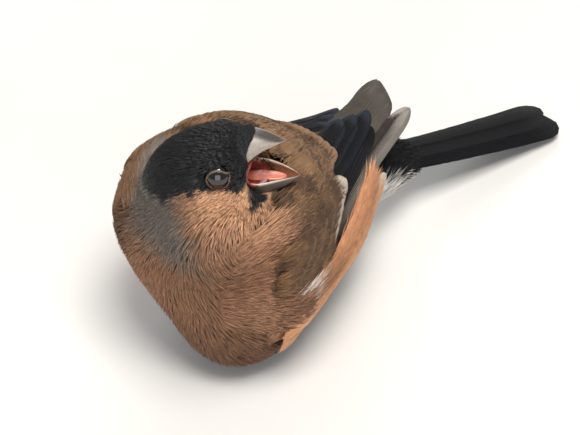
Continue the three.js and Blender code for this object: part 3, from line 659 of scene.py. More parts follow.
def sheets(top, bottom):
    """Closed sheets from grids of points, feathers x rows x columns x 3, with the rims joined."""
    count, rows, columns = top.shape[:3]
    size = rows * columns
    index = np.arange(size).reshape(rows, columns)
    a, b, c, d = index[:-1, :-1], index[:-1, 1:], index[1:, 1:], index[1:, :-1]
    over = np.stack([a, b, c, d], -1).reshape(-1, 4)
    rim = np.concatenate([index[0, :-1], index[:-1, -1], index[-1, :0:-1], index[:0:-1, 0]])
    after = np.roll(rim, -1)
    side = np.stack([after, rim, rim + size, after + size], -1)
    one = np.concatenate([over, over[:, ::-1] + size, side])
    faces = (one[None] + 2 * size * np.arange(count)[:, None, None]).reshape(-1, 4)
    points = np.stack([top, bottom], 1).reshape(-1, 3)
    return points, face_out(points, [faces])


def laid_vanes(side, roots, tips, half_width, level, bow=0.0, tilt=SHINGLE, rows=24, nicks=0.03, seed=5,
               narrow=0.45, round_from=0.7, thick=0.12):
    """Vanes between root and tip places on the winged body. Returns top and bottom grids with the
    place along (t), the place across (s) and the half width in millimetres for each point."""
    rng = np.random.default_rng(seed)
    t = vane_rows(rows)
    roots, tips = np.asarray(roots, float), np.asarray(tips, float)
    way_down = mixed(roots[:, None], tips[:, None], t[None, :, None])
    middle = body_place(way_down[..., 0], way_down[..., 1] + bow * np.sin(np.pi * t), side)
    along = unit(np.gradient(middle, axis=1))
    across = unit(np.cross(out_from(middle, WINGED), along)) * -side
    s = COLUMNS
    ragged = 1 + nicks * rng.normal(size=(len(roots), len(t)))
    half = half_width * blade(t, narrow, round_from) * ragged
    start = middle[:, :, None] + across[:, :, None] * (s * half[..., None])[..., None]
    shaft = SHAFT_HEIGHT * (np.abs(s) < SHAFT_HALF) * eased(t, 1.0, 0.8)[:, None]
    share = np.linspace(0, 1, len(roots))[:, None]
    height = (level(t, share) + 0 * share)[..., None] + CAD_VANE - tilt * s - 0.12 * s**2 + shaft
    top = on_level(start, WINGED, height, 2)
    bottom = on_level(top, WINGED, height - thick, 1)
    return top, bottom, *np.broadcast_arrays(t[None, :, None], s, half[..., None] + 0 * s)


def even(first, last, count, bend=1.0):
    """Places spread evenly between two, with the along-body part crowded by a power."""
    share = np.linspace(0, 1, count)
    return np.stack([mixed(first[0], last[0], share**bend), mixed(first[1], last[1], share)], -1)


def shaded(base, edge, tip, t, s, seed, pale_from=0.85, shaft=0.75, vary=0.06):
    """Colours for vanes: a base, an edge tone on both sides, a tip tone and a darker shaft."""
    rng = np.random.default_rng(seed)
    grain = 1 + vary * rng.normal(size=(len(t), 1, 1)) + 0.05 * rng.normal(size=t.shape)
    colour = blend(base, edge, eased(np.abs(s), 0.62, 1.0))
    colour = blend(colour, tip, eased(t + 0.05 * np.abs(s), pale_from, pale_from + 0.12))
    return colour * (grain * np.where(np.abs(s) < SHAFT_HALF, shaft, 1))[..., None]


def vane_piece(name, sets, material, stands_for=()):
    """One piece from several sets of vanes, each set given as (top, bottom, t, s, half, colour)."""
    points, faces, colours, vane_map, bake_map = [], [], [], [], []
    total = sum(len(group[0]) for group in sets)
    cells = math.ceil(math.sqrt(total))
    held = done = 0
    for top, bottom, t, s, half, colour in sets:
        made, groups = sheets(top, bottom)
        points.append(made)
        faces.append(groups[0] + held)
        held += len(made)
        length = np.linalg.norm(np.diff(top[:, :, len(COLUMNS) // 2], axis=1), axis=-1).sum(1)
        grid = np.stack([s * half, t * length[:, None, None]], -1)
        vane_map.append(np.stack([grid, grid], 1).reshape(-1, 2))
        number = done + np.arange(len(top))
        done += len(top)
        corner = np.stack([number % cells, number // cells], -1)[:, None, None, None] / cells
        sheet = np.arange(2)[None, :, None, None]
        u = 0.04 + 0.44 * (s[:, None] * 0.5 + 0.5) + 0.48 * sheet
        v = 0.04 + 0.92 * t[:, None] + 0 * sheet
        bake_map.append((np.stack([u, v], -1) / cells + corner).reshape(-1, 2))
        # The underside of each vane is 0.8 as bright as its top: painted shade on the side turned from the
        # light.
        colours.append(np.stack([colour, colour * 0.8], 1).reshape(-1, 3))
    return piece(name, np.concatenate(points), np.concatenate(faces), material, np.concatenate(colours),
                 {"vane": np.concatenate(vane_map), "OFBake": np.concatenate(bake_map)}, stands_for)


# %% [markdown]
# The folded wing is a stack. The long primaries lie lowest and reach out over the rump, the secondaries
# cover them, and the three broad tertials lie on top. All are black with a blue gloss, painted as a paler
# blue tone on their edges and the tertials' tips, except the primaries, whose worn outer webs are grey brown.
# The greater coverts end in the pale bar that crosses the wing.

# %% Wings

UNDER, OVER, LAYER = 0.85, 2.05, 0.34  # levels of the lowest and the upper feathers, and a step up
WING_BLACK = linear(19, 18, 20)
# a paler blue black: painted sheen for the gloss on the black quills
PAINTED_SHEEN_BLACK = linear(46, 49, 58)
PRIMARY = linear(58, 52, 47)
PRIMARY_EDGE = linear(166, 158, 149)
# the far wing's worn webs, darker than the near wing's: painted shade on the side turned away
FAR_WEB_PAINTED_SHADE = linear(89, 82, 75)
COVERT = linear(100, 76, 58)
COVERT_EDGE = linear(124, 96, 74)
WING_BAR = linear(196, 180, 164)

# Places are (distance along the body, degrees down from the ridge). outer and inner are the tips of the
# longest and the innermost primary, lift is how far the longest stands off and fan how its row is spaced.
# Primaries are numbered from the longest: the pale web is full up to worn's second number and gone at its
# first. crossed is how far the other quills' tips draw back, and set_back and drop place the coverts.
WINGS = {
    "left": {"outer": (48.3, 79), "inner": (43, 68), "lift": 0.3, "fan": 1.8, "half": 2.0, "bow": 0,
             "web": PRIMARY_EDGE, "worn": (7, 4), "crossed": [0, 6], "set_back": 0, "drop": 0, "seed": 11},
    # The far wing's web tone is the near one's pale grey brown, darkened as painted shade.
    "right": {"outer": (48.6, -9), "inner": (45.8, -46), "lift": 1.3, "fan": 1.3, "half": 2.6, "bow": -46,
              "web": FAR_WEB_PAINTED_SHADE, "worn": (9, 8), "crossed": [3, 34], "set_back": 2.5, "drop": 1.0, "seed": 12},
}
PRIMARIES = 8


def vanes_of(side, roots, tips, half, level, colours, pale_from=0.85, **more):
    """A set of laid vanes with its colours (base, edge, tip)."""
    top, bottom, t, s, wide = laid_vanes(side, roots, tips, half, level, **more)
    return top, bottom, t, s, wide, shaded(*colours, t, s, more.get("seed", 5), pale_from)


def constant(level):
    """A level that is the same everywhere."""
    return lambda *_: level


def rising(low, high, first, last, off=0.0):
    """A level, less an amount, that goes from low to high between two places along the feather."""
    return lambda t, _: mixed(low, high, eased(t, first, last)) - off


def primaries(side, wing):
    """The long quills, whose outer webs are worn pale away from the root."""
    top, bottom, t, s, wide = laid_vanes(
        side, even((-4, 83), (2, 70), PRIMARIES), even(wing["outer"], wing["inner"], PRIMARIES, wing["fan"]),
        wing["half"], lambda t, share: UNDER + 0.05 + wing["lift"] * (1 - share) * eased(t, 0.8, 1),
        rows=44, seed=wing["seed"], nicks=0.02, round_from=0.86, bow=wing["bow"])
    pale = eased(np.arange(PRIMARIES)[:, None, None], *wing["worn"]) * (0.6 + 0.4 * eased(s, -0.35, 0.1))
    tone = shaded(PRIMARY, PRIMARY, PRIMARY, t, s, wing["seed"])
    return top, bottom, t, s, wide, blend(tone, wing["web"], pale * eased(t, 0.1, 0.5))


def inner_quills(side, wing):
    """Secondaries, and the tertials that cover them."""
    return [
        vanes_of(side, even((3, 68), (6, 52), 6), even((35, 58), (31, 38), 6) - wing["crossed"], 2.6,
                 lambda t, _: UNDER + 0.1 + 0.08 * t, (WING_BLACK, PAINTED_SHEEN_BLACK, WING_BLACK),
                 bow=2, rows=36, seed=wing["seed"] + 2, nicks=0.02, round_from=0.8),
        vanes_of(side, even((10, 48), (12, 32), 3), even((38, 41), (31, 20), 3) - wing["crossed"], 3.5,
                 constant(UNDER + 0.22), (WING_BLACK, PAINTED_SHEEN_BLACK, PAINTED_SHEEN_BLACK),
                 rows=36, seed=wing["seed"] + 4, nicks=0.015, round_from=0.6),
    ]


def covert_rows(side, wing):
    """A sheet under the coverts, the greater coverts with their pale ends, and three smaller rows."""
    over = OVER - wing["drop"]
    bar, brown = (COVERT, COVERT, WING_BAR), (COVERT, COVERT_EDGE, COVERT_EDGE)
    rows = [
        ((-14, 68), (-14, 68), (4, 67), (4, 67), 1, 4.6, rising(UNDER, over, 0.1, 0.7, 0.15), brown,
         {"tilt": 0, "narrow": 1, "rows": 20, "seed": 1}),
        ((2, 55), (-8, 78), (17, 58), (1, 77), 8, 2.3, constant(over + 0.15), bar,
         {"pale_from": 0.72, "rows": 26, "seed": wing["seed"] + 6, "narrow": 0.7}),
        ((-3, 56), (-12, 78), (9, 57), (-3, 77), 8, 1.9,
         rising(over - 0.2, over + 0.15 + 0.5 * LAYER, 0, 0.5), brown,
         {"rows": 20, "seed": wing["seed"] + 8, "narrow": 0.6}),
        ((-8, 56), (-13.5, 77), (3, 57), (-6.5, 77), 8, 1.8,
         rising(UNDER + 0.4, over + 0.15 + LAYER, 0, 0.7), brown,
         {"rows": 18, "seed": wing["seed"] + 10, "narrow": 0.6}),
        ((-12, 58), (-15, 76), (-3, 58), (-10, 76), 7, 1.9,
         rising(UNDER, over + 0.15 + 1.5 * LAYER, 0, 0.9), brown,
         {"rows": 18, "seed": wing["seed"] + 12, "narrow": 0.6}),
    ]
    back = [wing["set_back"], 0]
    return [vanes_of(side, even(first_root, last_root, count) + back, even(first_tip, last_tip, count) + back,
                     half, level, colours, **more)
            for first_root, last_root, first_tip, last_tip, count, half, level, colours, more in rows]


for name, side in SIDES.items():
    wing = WINGS[name]
    vane_piece(f"wing_{name}_quills", [primaries(side, wing), *inner_quills(side, wing)], VANES,
               [f"wing_{name}_flight"])
    vane_piece(f"wing_{name}_shoulder", covert_rows(side, wing), VANES,
               [f"wing_{name}_coverts"])

# %% [markdown]
# The mantle's brown feathers lie over the roots of the wings, and the long soft feathers of the flank sweep
# up from the belly over the wing's lower edge. The mantle has four rows that overlap like tiles, and the
# flank one row over a plain sheet. Softer tufts cover both later.

# %% Mantle and flanks


for name, side in SIDES.items():
    lower = vanes_of(side, even((-12, 123), (17, 127), 13), even((3, 92), (33, 103), 13), 3.4,
                     rising(UNDER - 0.2, OVER - 0.1, 0, 0.35), (FLANK, FLANK, WING_BAR),
                     rows=28, seed=31 + side, nicks=0.05, tilt=0.1)
    patch = vanes_of(side, [(-13, 124)], [(22, 128)], 3.6, constant(UNDER - 0.1),
                     (FLANK, FLANK, FLANK), tilt=0, narrow=1, rows=24, seed=41)
    vane_piece(f"flank_{name}_feathers", [patch, lower], COAT, [f"flank_{name}"])

MANTLE_EDGE, MANTLE_TIP = linear(148, 122, 100), linear(146, 118, 96)
MANTLE_ROWS, MANTLE_STEP, MANTLE_REACH, MANTLE_SPREAD = 4, 3.2, 9, 38
mantle_tiers = [vanes_of(LEFT, [(4, 0)], [(20, 0)], 10, rising(UNDER, OVER, 0.2, 0.8, 0.1),
                         (BROWN_BACK, BROWN_BACK, BROWN_BACK), tilt=0, narrow=1, rows=20, seed=51)]
for row in range(MANTLE_ROWS):
    x = 2 + MANTLE_STEP * row
    odd = row % 2
    spread, count = MANTLE_SPREAD - 2 * odd, 11 - odd
    mantle_tiers.append(vanes_of(
        LEFT, even((x, 2 - spread), (x, spread - 2), count),
        even((x + MANTLE_REACH, -spread), (x + MANTLE_REACH, spread), count), 2.1,
        rising(UNDER + 0.1, OVER + 0.36 - 0.09 * row, 0, 0.4), (BROWN_BACK, MANTLE_EDGE, MANTLE_TIP),
        rows=18, seed=61 + row, nicks=0.05, tilt=0.05))
vane_piece("mantle_feathers", mantle_tiers, VANES, ["mantle"])

# %% [markdown]
# The tail has twelve black feathers stacked from the outside in, with the middle pair on top. The outer
# ones are a little longer, so the end has a shallow notch, and the whole is slightly curved like a roof tile.

# %% Tail

TAIL_HALF_WIDTH, TAIL_FEATHER_HALF, TAIL_LAYER, TAIL_CAMBER = 7.2, 4.0, 0.3, 0.02
TAIL_FEATHERS, TAIL_LAYERS, TAIL_VANE = 12, 4, 0.14
TAIL_EDGE, TAIL_TIP = linear(28, 28, 31), linear(34, 33, 34)


def tail_at(t, across, height):
    """A place on the tail: along it, sideways and above its underside."""
    return (tail_middle(t) + across[..., None] * tail_across
            + (height - TAIL_CAMBER * across**2)[..., None] * tail_up)


place = np.linspace(-1, 1, TAIL_FEATHERS)[:, None, None]  # each feather's, from the left edge to the right
t, s = vane_rows(46)[None, :, None], COLUMNS[None, None]
rounded = np.sqrt(np.clip(1 - np.maximum(0, (t - 0.9) / 0.1) ** 3, 0.002, 1))
nicked = 1 + 0.012 * np.random.default_rng(71).normal(size=(TAIL_FEATHERS, t.shape[1], 1))
half = TAIL_FEATHER_HALF * mixed(0.7, 1, t) * rounded * nicked
across = place * (TAIL_HALF_WIDTH - TAIL_FEATHER_HALF) * mixed(0.6, 1, t) + s * half
height = TAIL_LAYERS * (1 - np.abs(place)) * TAIL_LAYER + CAD_VANE - 0.1 * s**2
height = height + SHAFT_HEIGHT * (np.abs(s) < SHAFT_HALF) * eased(t, 1, 0.85)
reach = mixed(-0.02, 1, t * (0.95 + 0.05 * np.abs(place)))
t, s, half, reach, across, height = np.broadcast_arrays(t, s, half, reach, across, height)
tone = shaded(TAIL_BLACK, TAIL_EDGE, TAIL_TIP, t, s, 72, pale_from=0.9)
tail = (tail_at(reach, across, height), tail_at(reach, across, height - TAIL_VANE), t, s, half, tone)
vane_piece("tail_feathers", [tail], VANES, ["tail"])

# %% [markdown]
# The coat is made of tufts. Each tuft is a small fan of barbs that leaves the skin at one place, rises
# through the depth of the coat and then lies flat along the body. A barb is a slim blade of three sides
# that narrows to a point. Barbs, not flat scales, are what make a breast look soft at this distance.

# %% The lie of the coat


def tangent(v, normal):
    """The part of a direction that lies in the surface, with length one."""
    return unit(v - (v * normal).sum(-1, keepdims=True) * normal)


def lie_of_coat(points, normal, seed=81):
    """Which way the feathers point: away from the bill on the head, back and down along the body, with a
    slow waver so that no two rows run alike."""
    from_bill = unit(points - head_point(10, -3, 0))
    down_body = np.broadcast_to(unit(way(1, 0, -0.55)), points.shape)
    lie = tangent(mixed(down_body, from_bill, by_head(points, 13.0, 1.0)[:, None]), normal)
    turn = 0.16 * waves(points, 9, seed)[:, None]
    return unit(lie + turn * np.cross(normal, lie))


def scattered(quads, points, per_mm2, seed):
    """Seeded places on a mesh of squares, with a density for each square."""
    rng = np.random.default_rng(seed)
    a, b, c, d = (points[quads[:, k]] for k in range(4))
    area = 0.5 * np.linalg.norm(np.cross(c - a, d - b), axis=1)
    wanted = area * per_mm2
    count = np.floor(wanted).astype(int) + (rng.random(len(wanted)) < wanted % 1)
    chosen = np.repeat(np.arange(len(quads)), count)
    u, v = rng.random((2, len(chosen), 1))
    return (a[chosen] * (1 - u) + b[chosen] * u) * (1 - v) + (d[chosen] * (1 - u) + c[chosen] * u) * v


BARB_STATIONS = np.array([0.0, 0.34, 0.68, 1.0])
BARB_WIDTHS = np.array([0.55, 1.0, 0.8])
BARB_POINTS = 10
BARB_FACES = [
    np.array([[3 * i + j, 3 * i + (j + 1) % 3, 3 * i + 3 + (j + 1) % 3, 3 * i + 3 + j]
              for i in range(2) for j in range(3)]),
    np.array([[6, 7, 9], [7, 8, 9], [8, 6, 9], [2, 1, 0]]),
]


def barb_points(path, across, up, width):
    """Ten points a barb: three rings of three round its path, and the tip. Also where each point is
    across and along its barb."""
    w = (BARB_WIDTHS[:, None, None] * width)[..., None] / 2
    rings = np.stack([path[:3] - across * w, path[:3] + up * w * 0.7, path[:3] + across * w], -2)
    body = np.moveaxis(rings, 0, 2).reshape(*path.shape[1:3], 9, 3)
    points = np.concatenate([body, path[3][..., None, :]], 2).reshape(-1, 3)
    s = BARB_STATIONS
    return points, np.stack([np.r_[np.tile([-0.5, 0.0, 0.5], 3), 0.0], np.r_[np.repeat(s[:3], 3), 1.0]], -1)


def barbs_from(roots, lie, length, width, low, high, fans, spread, seed, forms=PLUMAGE):
    """Barbs of tufts: each root has a fan of barbs at angles from -spread to spread. Along a barb, the
    level goes from a low one to a high one by the square root of the way."""
    rng = np.random.default_rng(seed)
    count = len(roots)
    fan = np.linspace(-1, 1, fans)[None] + 0.25 * rng.normal(size=(count, fans))
    normal = out_from(roots, forms)
    side = np.cross(normal, lie)
    angle = fan * spread + 0.12 * rng.normal(size=(count, 1))
    along = lie[:, None] * np.cos(angle)[..., None] + side[:, None] * np.sin(angle)[..., None]
    across = side[:, None] * np.cos(angle)[..., None] - lie[:, None] * np.sin(angle)[..., None]
    reach = length[:, None] * (1 - 0.22 * fan**2) * rng.uniform(0.82, 1.12, (count, fans))
    start = roots[:, None] + side[:, None] * (fan * 0.35 * length[:, None] * np.sin(spread))[..., None]
    s = BARB_STATIONS
    bent = -0.35 * angle * s[:, None, None] ** 2
    path = (start + along * (reach * s[:, None, None])[..., None] + across * (reach * bent)[..., None])
    crest = np.minimum(high[:, None] - 0.25 * np.abs(fan) + 0.12 * rng.normal(size=(count, fans)), high.max())
    path = on_level(path, forms, mixed(low[:, None], crest, np.sqrt(s)[:, None, None]), 2)
    slim = width[:, None] * rng.uniform(0.75, 1.2, (count, fans))
    return *barb_points(path, across, normal[:, None], slim), fan


BODY_START, BODY_RUN, PATCH = -35, 100, 0.003  # the stretch that the map holds, and a tuft's patch on it


def unwrapped(points):
    """The skin laid flat: round the head by its own longitude and latitude, and round the body by angle
    and distance along it, in the two halves of a square."""
    forward, up, right = np.moveaxis(in_head(points), -1, 0)
    on_head = field(points, HEAD_ALONE) < 1.5
    radius = np.maximum(np.sqrt(forward**2 + up**2 + right**2), 1e-6)
    longitude, latitude = np.arctan2(right, -forward), np.arcsin(up / radius)
    head_uv = np.stack([longitude / (2 * np.pi) + 0.5, latitude / np.pi + 0.5], -1)
    from_axis = points - body_axis(points[:, 0])
    around = np.arctan2(from_axis[:, 1], from_axis[:, 2]) / (2 * np.pi) + 0.5
    body_uv = np.stack([around, np.clip((points[:, 0] - BODY_START) / BODY_RUN, 0, 1)], -1)
    both = np.where(on_head[:, None], head_uv * [1, 0.48] + [0, 0.51], body_uv * [1, 0.49])
    return both * 0.98 + 0.01


def coat_piece(name, roots, barbs, tone, material, seed):
    """One piece of coat from barbs (points, places on a barb, fan), each tuft in its own tone with a
    paler tip and a root darkened as painted shade deep in the coat, and with its patch of the bake map at its
    root's place."""
    points, local, fan = barbs
    rng = np.random.default_rng(seed)
    fans = fan.shape[1]
    count = len(roots) * fans
    first = BARB_POINTS * np.arange(count)[:, None, None]
    faces = [(f[None] + first).reshape(-1, f.shape[1]) for f in BARB_FACES]
    tone = np.repeat(tone * (1 + 0.07 * rng.normal(size=(len(roots), 1))), fans, axis=0)
    tone = tone * (1 + 0.08 * rng.normal(size=(count, 1)))
    # Each barb darkens to 0.62 at its root, painted shade deep in the coat, and is a little paler at the tip.
    along = mixed(0.62, 1.08, local[:, 1] ** 0.8)
    colour = np.clip(tone[:, None] * along[None, :, None], 0, 1).reshape(-1, 3)
    root_uv = np.repeat(unwrapped(roots), fans, axis=0)[:, None]
    patch = (local * [0.5, 1] + fan.reshape(-1, 1, 1) * [0.5, 0]) * PATCH
    return piece(name, points, faces, material, colour, {"OFBake": (root_uv + patch).reshape(-1, 2)})


# %% [markdown]
# Tufts are sown on the skin by area: small and close on the face, longer on the breast and belly, few
# where the wings or the ground hide them. None grow in the mouth, on the bill or on the lids.

# %% The coat


def mouth_way(points):
    """Nearness to the bill's base and the open mouth: 0 well clear, 1 where no feather can stand."""
    forward, up, right = np.moveaxis(in_head(points), -1, 0)
    upper = eased(forward, 9.2, 10.2) * (np.abs(right) < 5) * (up > -3)
    hollow = field(points, MOUTH_HOLLOW) < 0.5
    lower = (forward - 8.6) + 0.55 * (up + 8.5) > 0
    return np.maximum(upper, (hollow | (lower & (np.abs(right) < 4.6) & (up < -3))).astype(float))


def lid_way(points):
    """True where an eye or its lid is."""
    openings = np.array([eye_centre(side) + eye_way(side) * 1.6 for side in (LEFT, RIGHT)])
    return (np.linalg.norm(points[:, None] - openings, axis=-1) < 2.75).any(1)


def tufts_per_mm2(places):
    """Dense on the face, thinner on the body, few where wings or ground hide them."""
    head_share = by_head(places, 5.0, 1.0)
    x, angle = round_body(places)
    winged = (x > -9) & (x < 40) & (angle < 98) & (head_share < 0.2)
    density = np.where(winged, 0.12, mixed(0.8, 2.4, head_share))
    density = np.where(x > 24, 1.0, density)
    return np.where(places[:, 2] < 1.0, 0.3, density)


roots = scattered(skin_quads, skin_points, tufts_per_mm2(skin_points[skin_quads].mean(1)), 91)
roots = roots[(mouth_way(roots) < 0.5) & ~lid_way(roots)]
on_head = by_head(roots, 5.0, 1.0)
face = eased(in_head(roots)[:, 0], -4, 8) * on_head
x_at, angle_at = round_body(roots)
_, black = markings(roots)
# Name, roots, material and slot of each group; a root belongs to the first group that takes it
COATS = [
    ("cap", (on_head > 0.5) & (black > 0.5), CAP_COAT, "cap_plumage"),
    ("cheeks", on_head > 0.5, COAT, "breast_plumage"),
    ("neck", roots[:, 2] > 36, COAT, "breast_plumage"),
    ("vent", x_at > 26, COAT, "white_plumage"),
    ("back", angle_at < 80, COAT, "back_plumage"),
    ("breast", x_at < -12, COAT, "breast_plumage"),
    ("side_left", roots[:, 1] < -8, COAT, "breast_plumage"),
    ("side_right", roots[:, 1] > 2, COAT, "breast_plumage"),
    ("belly", on_head > -1, COAT, "breast_plumage"),
]
FANS, SPREAD, VENT_LENGTH, VENT_WIDTH = 5, 0.38, 6.2, 0.28
taken = np.zeros(len(roots), bool)
rng = np.random.default_rng(93)
for number, (name, chosen, material, slot) in enumerate(COATS):
    seed = 100 + 10 * number
    chosen = chosen & ~taken
    taken |= chosen
    here = roots[chosen]
    behind = eased(x_at[chosen], 22, 30)
    length = mixed(mixed(5.6, 3.2, on_head[chosen]), 1.7, face[chosen]) * rng.uniform(0.85, 1.15, len(here))
    length = mixed(length, VENT_LENGTH, behind)
    width = mixed(mixed(0.33, 0.19, on_head[chosen]), VENT_WIDTH, behind)
    high = -0.05 - 0.25 * rng.random(len(here)) - 0.9 * near_eye(here, 2.8, 4.6)
    lie = lie_of_coat(here, out_from(here, PLUMAGE))
    tone, _ = markings(here + lie * length[:, None] * 0.6)
    low = -coat_depth(here) - 0.3
    barbs = barbs_from(here, lie, length, width, low, high, FANS, SPREAD, seed + 1)
    coat_piece(f"coat_{name}", here, barbs, tone, material, seed)

# %% [markdown]
# Some tufts root higher: the soft feathers of the flank grow from the side of the belly and fold up over
# the wing, and the small feathers of the mantle and shoulder hide where the wing's own quills begin. The
# breast's feathers reach back over the front edge of the folded wing, and longer ones run under the tail.

# %% Flank, mantle, shoulder and breast edge


TRACT_SPREAD = 0.34
CHIN_BELOW_BILL, BILL_FRONT = head_point(3, -6, 0), head_point(18, -6, 0)


def tract(name, side, x_span, angle_span, count, heading, length, levels, tone, seed, fans=6,
          width=0.36):
    """A field of tufts between two distances along the body and two angles down from the ridge, all
    heading by so many millimetres along and degrees down. Near the open bill they lie low."""
    rng = np.random.default_rng(seed)
    x, angle = rng.uniform(*x_span, count), rng.uniform(*angle_span, count)
    roots = body_place(x, angle, side, levels[0])
    ahead = body_place(x + heading[0] * 0.1, angle + heading[1] * 0.1, side, levels[0])
    normal = out_from(roots, WINGED)
    step = ahead - roots
    waver = 0.05 * np.linalg.norm(step, axis=1)[:, None] * waves(roots, 6, seed)[:, None]
    lie = tangent(step + waver * np.cross(normal, step), normal)
    full = np.full(count, 1.0)
    crest = levels[1](x, angle) * full
    reach = np.clip((in_head(roots)[:, 0] - 3) / 15, 0, 1)[:, None]
    clear = np.linalg.norm(roots + lie * 2 - mixed(CHIN_BELOW_BILL, BILL_FRONT, reach), axis=1)
    high = mixed(crest, np.minimum(crest, OVER + 0.15), eased(clear, 13, 10))
    high = mixed(high, -0.4, eased(clear, 8.6, 7.2)) + 0.3 * (rng.random(count) - 0.5)
    length = length * rng.uniform(0.85, 1.15, count)
    barbs = barbs_from(roots, lie, length, width * full, levels[0] * full, high, fans, TRACT_SPREAD, seed + 1,
                       WINGED)
    return coat_piece(name, roots, barbs, tone(roots, x, angle), COAT, seed)


def flank_tone(roots, x, angle):
    """Buff, browner in front with one white patch at the wing's edge, and white towards the vent."""
    patch = eased(np.abs(x + 9 + waves(roots, 5, 7)), 2.4, 0.8) * eased(angle, 106, 99) * 0.7
    return blend(blend(FLANK, BREAST, eased(x, 2, -12) * 0.9), WHITE, np.maximum(patch, eased(x, 22, 30)))


def back_tone(roots, *_):
    """Brown, a little greyer and paler in slow patches."""
    return blend(BROWN_BACK, COVERT, eased(waves(roots, 7, 8), -0.6, 0.8))


def breast_edge_tone(roots, *_):
    """The plumage's own colour a little further forward, where these feathers come from."""
    return markings(roots - way(3, 0, 0))[0]


def undertail_tone(roots, *_):
    """White below, black where the feathers reach up to the tail."""
    over_tail = (roots - TAIL_ROOT) @ tail_up + 0.4 * waves(roots, 3, 9)
    return blend(WHITE, TAIL_BLACK, eased(over_tail, -2.1, -1.3))


def flank_crest(over):
    """Level with the coat in front, then over the wing, highest where the upper edge folds over it."""
    return lambda x, angle: mixed(
        -0.1, over + mixed(1.9, 0.4, eased(angle, 104, 114)) * eased(x, 30, 10), eased(x, -17, -8))


def breast_crest(over):
    """Level with the coat in front, and over the wing's front edge behind."""
    return lambda x, angle: mixed(0, over + 1.1, eased(x, -21, -11))


for name, side in SIDES.items():
    shift, over = WINGS[name]["set_back"], OVER - WINGS[name]["drop"]
    tract(f"coat_flank_{name}", side, (-16, 24), (96, 127), 1300, (12, -26), 8.5,
          (UNDER - 1.4, flank_crest(over)), flank_tone, 201 + side, width=0.42)
    tract(f"coat_shoulder_{name}", side, (-15 + shift, 1 + shift), (52, 80), 480, (10, 1), 4.2,
          (over - 0.2, constant(over + 1.15)), back_tone, 211 + side, width=0.28)
    tract(f"coat_scapulars_{name}", side, (-10, 10), (30, 60), 480, (10, 2), 5.5,
          (UNDER - 0.4, constant(over + 1.0)), back_tone, 221 + side, width=0.3)
    tract(f"coat_breast_edge_{name}", side, (-23, -9 + shift), (36, 112), 950, (10, 1), 5.6,
          (-1.6, breast_crest(over)), breast_edge_tone, 231 + side)
    tract(f"coat_undertail_{name}", side, (24, 37), (128, 178), 420, (10, 0), 10, (-0.6, constant(0.3)),
          undertail_tone, 236 + side, fans=5, width=0.3)
tract("coat_mantle", LEFT, (-4, 15), (-38, 38), 900, (10, 0), 5.0, (OVER - 0.2, constant(OVER + 0.95)),
      back_tone, 241, width=0.28)

# %% [markdown]
# The bill of a bullfinch is short, deep and swollen. Each half is a loft of arches from the feathers to the
# tip, hollow inside, swung about its own hinge. The upper half ends in a small hook over the lower one.

# %% Bill


def bill_place(half, t, rise, across, out=0.0):
    """Places on half a bill, from the feathers (t = 0) to the tip (1): rise goes from the cutting edge
    (0) to the ridge (1), across from one side (-1) to the other, and out is a distance off the horn."""
    along, back = np.maximum(t, 0), np.minimum(t, 0) * 10
    edge, height = half["edge"](along), half["ridge"](along)
    base = mixed(half["edge_base"], half["ridge_base"], np.maximum(rise, 0))
    f = mixed(base, half["reach"], along) + back
    u = edge + rise * (height + np.sign(height) * out)
    f, u = swung(f, u, half["pivot"], half["swing"])
    return head_point(f, u, across * (half["width"](along) + out))


def culmen(t):
    """Height of the upper bill's ridge over its cutting edge: deep at the feathers, thin at the tip."""
    swell = (CULMEN_HEIGHT - GAPE_HEIGHT) * (1 - t**1.9) - 1.7 + 1.0 * t**2
    return np.maximum(swell - 0.6 * np.sin(np.pi * t), 0.08 + 0.5 * (1 - t))


def chin_ridge(t):
    """Depth of the lower bill below its cutting edge, as a negative height."""
    depth = CHIN_HEIGHT - GAPE_HEIGHT + 0.3
    return depth * np.maximum(1 - t**1.6, 0.02) - 0.5 * np.sin(np.pi * t)


UPPER_BILL = {
    "ridge_base": 10.3, "edge_base": 7.9, "reach": BILL_REACH - 0.9, "pivot": (9.5, 2),
    "swing": UPPER_BILL_RAISE + 3, "ridge": culmen,
    "edge": lambda t: GAPE_HEIGHT + 1.7 - 2.1 * t**2 + 0.6 * np.sin(np.pi * t),
    "width": lambda t: BILL_HALF_WIDTH * np.maximum(1 - t**1.5, 0.002) ** 0.8,
}
LOWER_BILL = {
    "ridge_base": 10, "edge_base": 8.6, "reach": BILL_REACH, "pivot": (0, -4),
    "swing": -LOWER_BILL_DROP - 1, "ridge": chin_ridge,
    "edge": lambda t: GAPE_HEIGHT - 0.3 + 0.45 * np.sin(np.pi * t) - 0.3 * t,
    "width": lambda t: (BILL_HALF_WIDTH - 0.15) * np.maximum(1 - t**1.3, 0.002) ** 0.85,
}
HORN = plumage_material("bill_horn", 0.36, mottle=0.3, scale=1700, gloss=0.45)
HORN_EDGE, HORN_INSIDE = linear(206, 188, 168), linear(122, 78, 56)
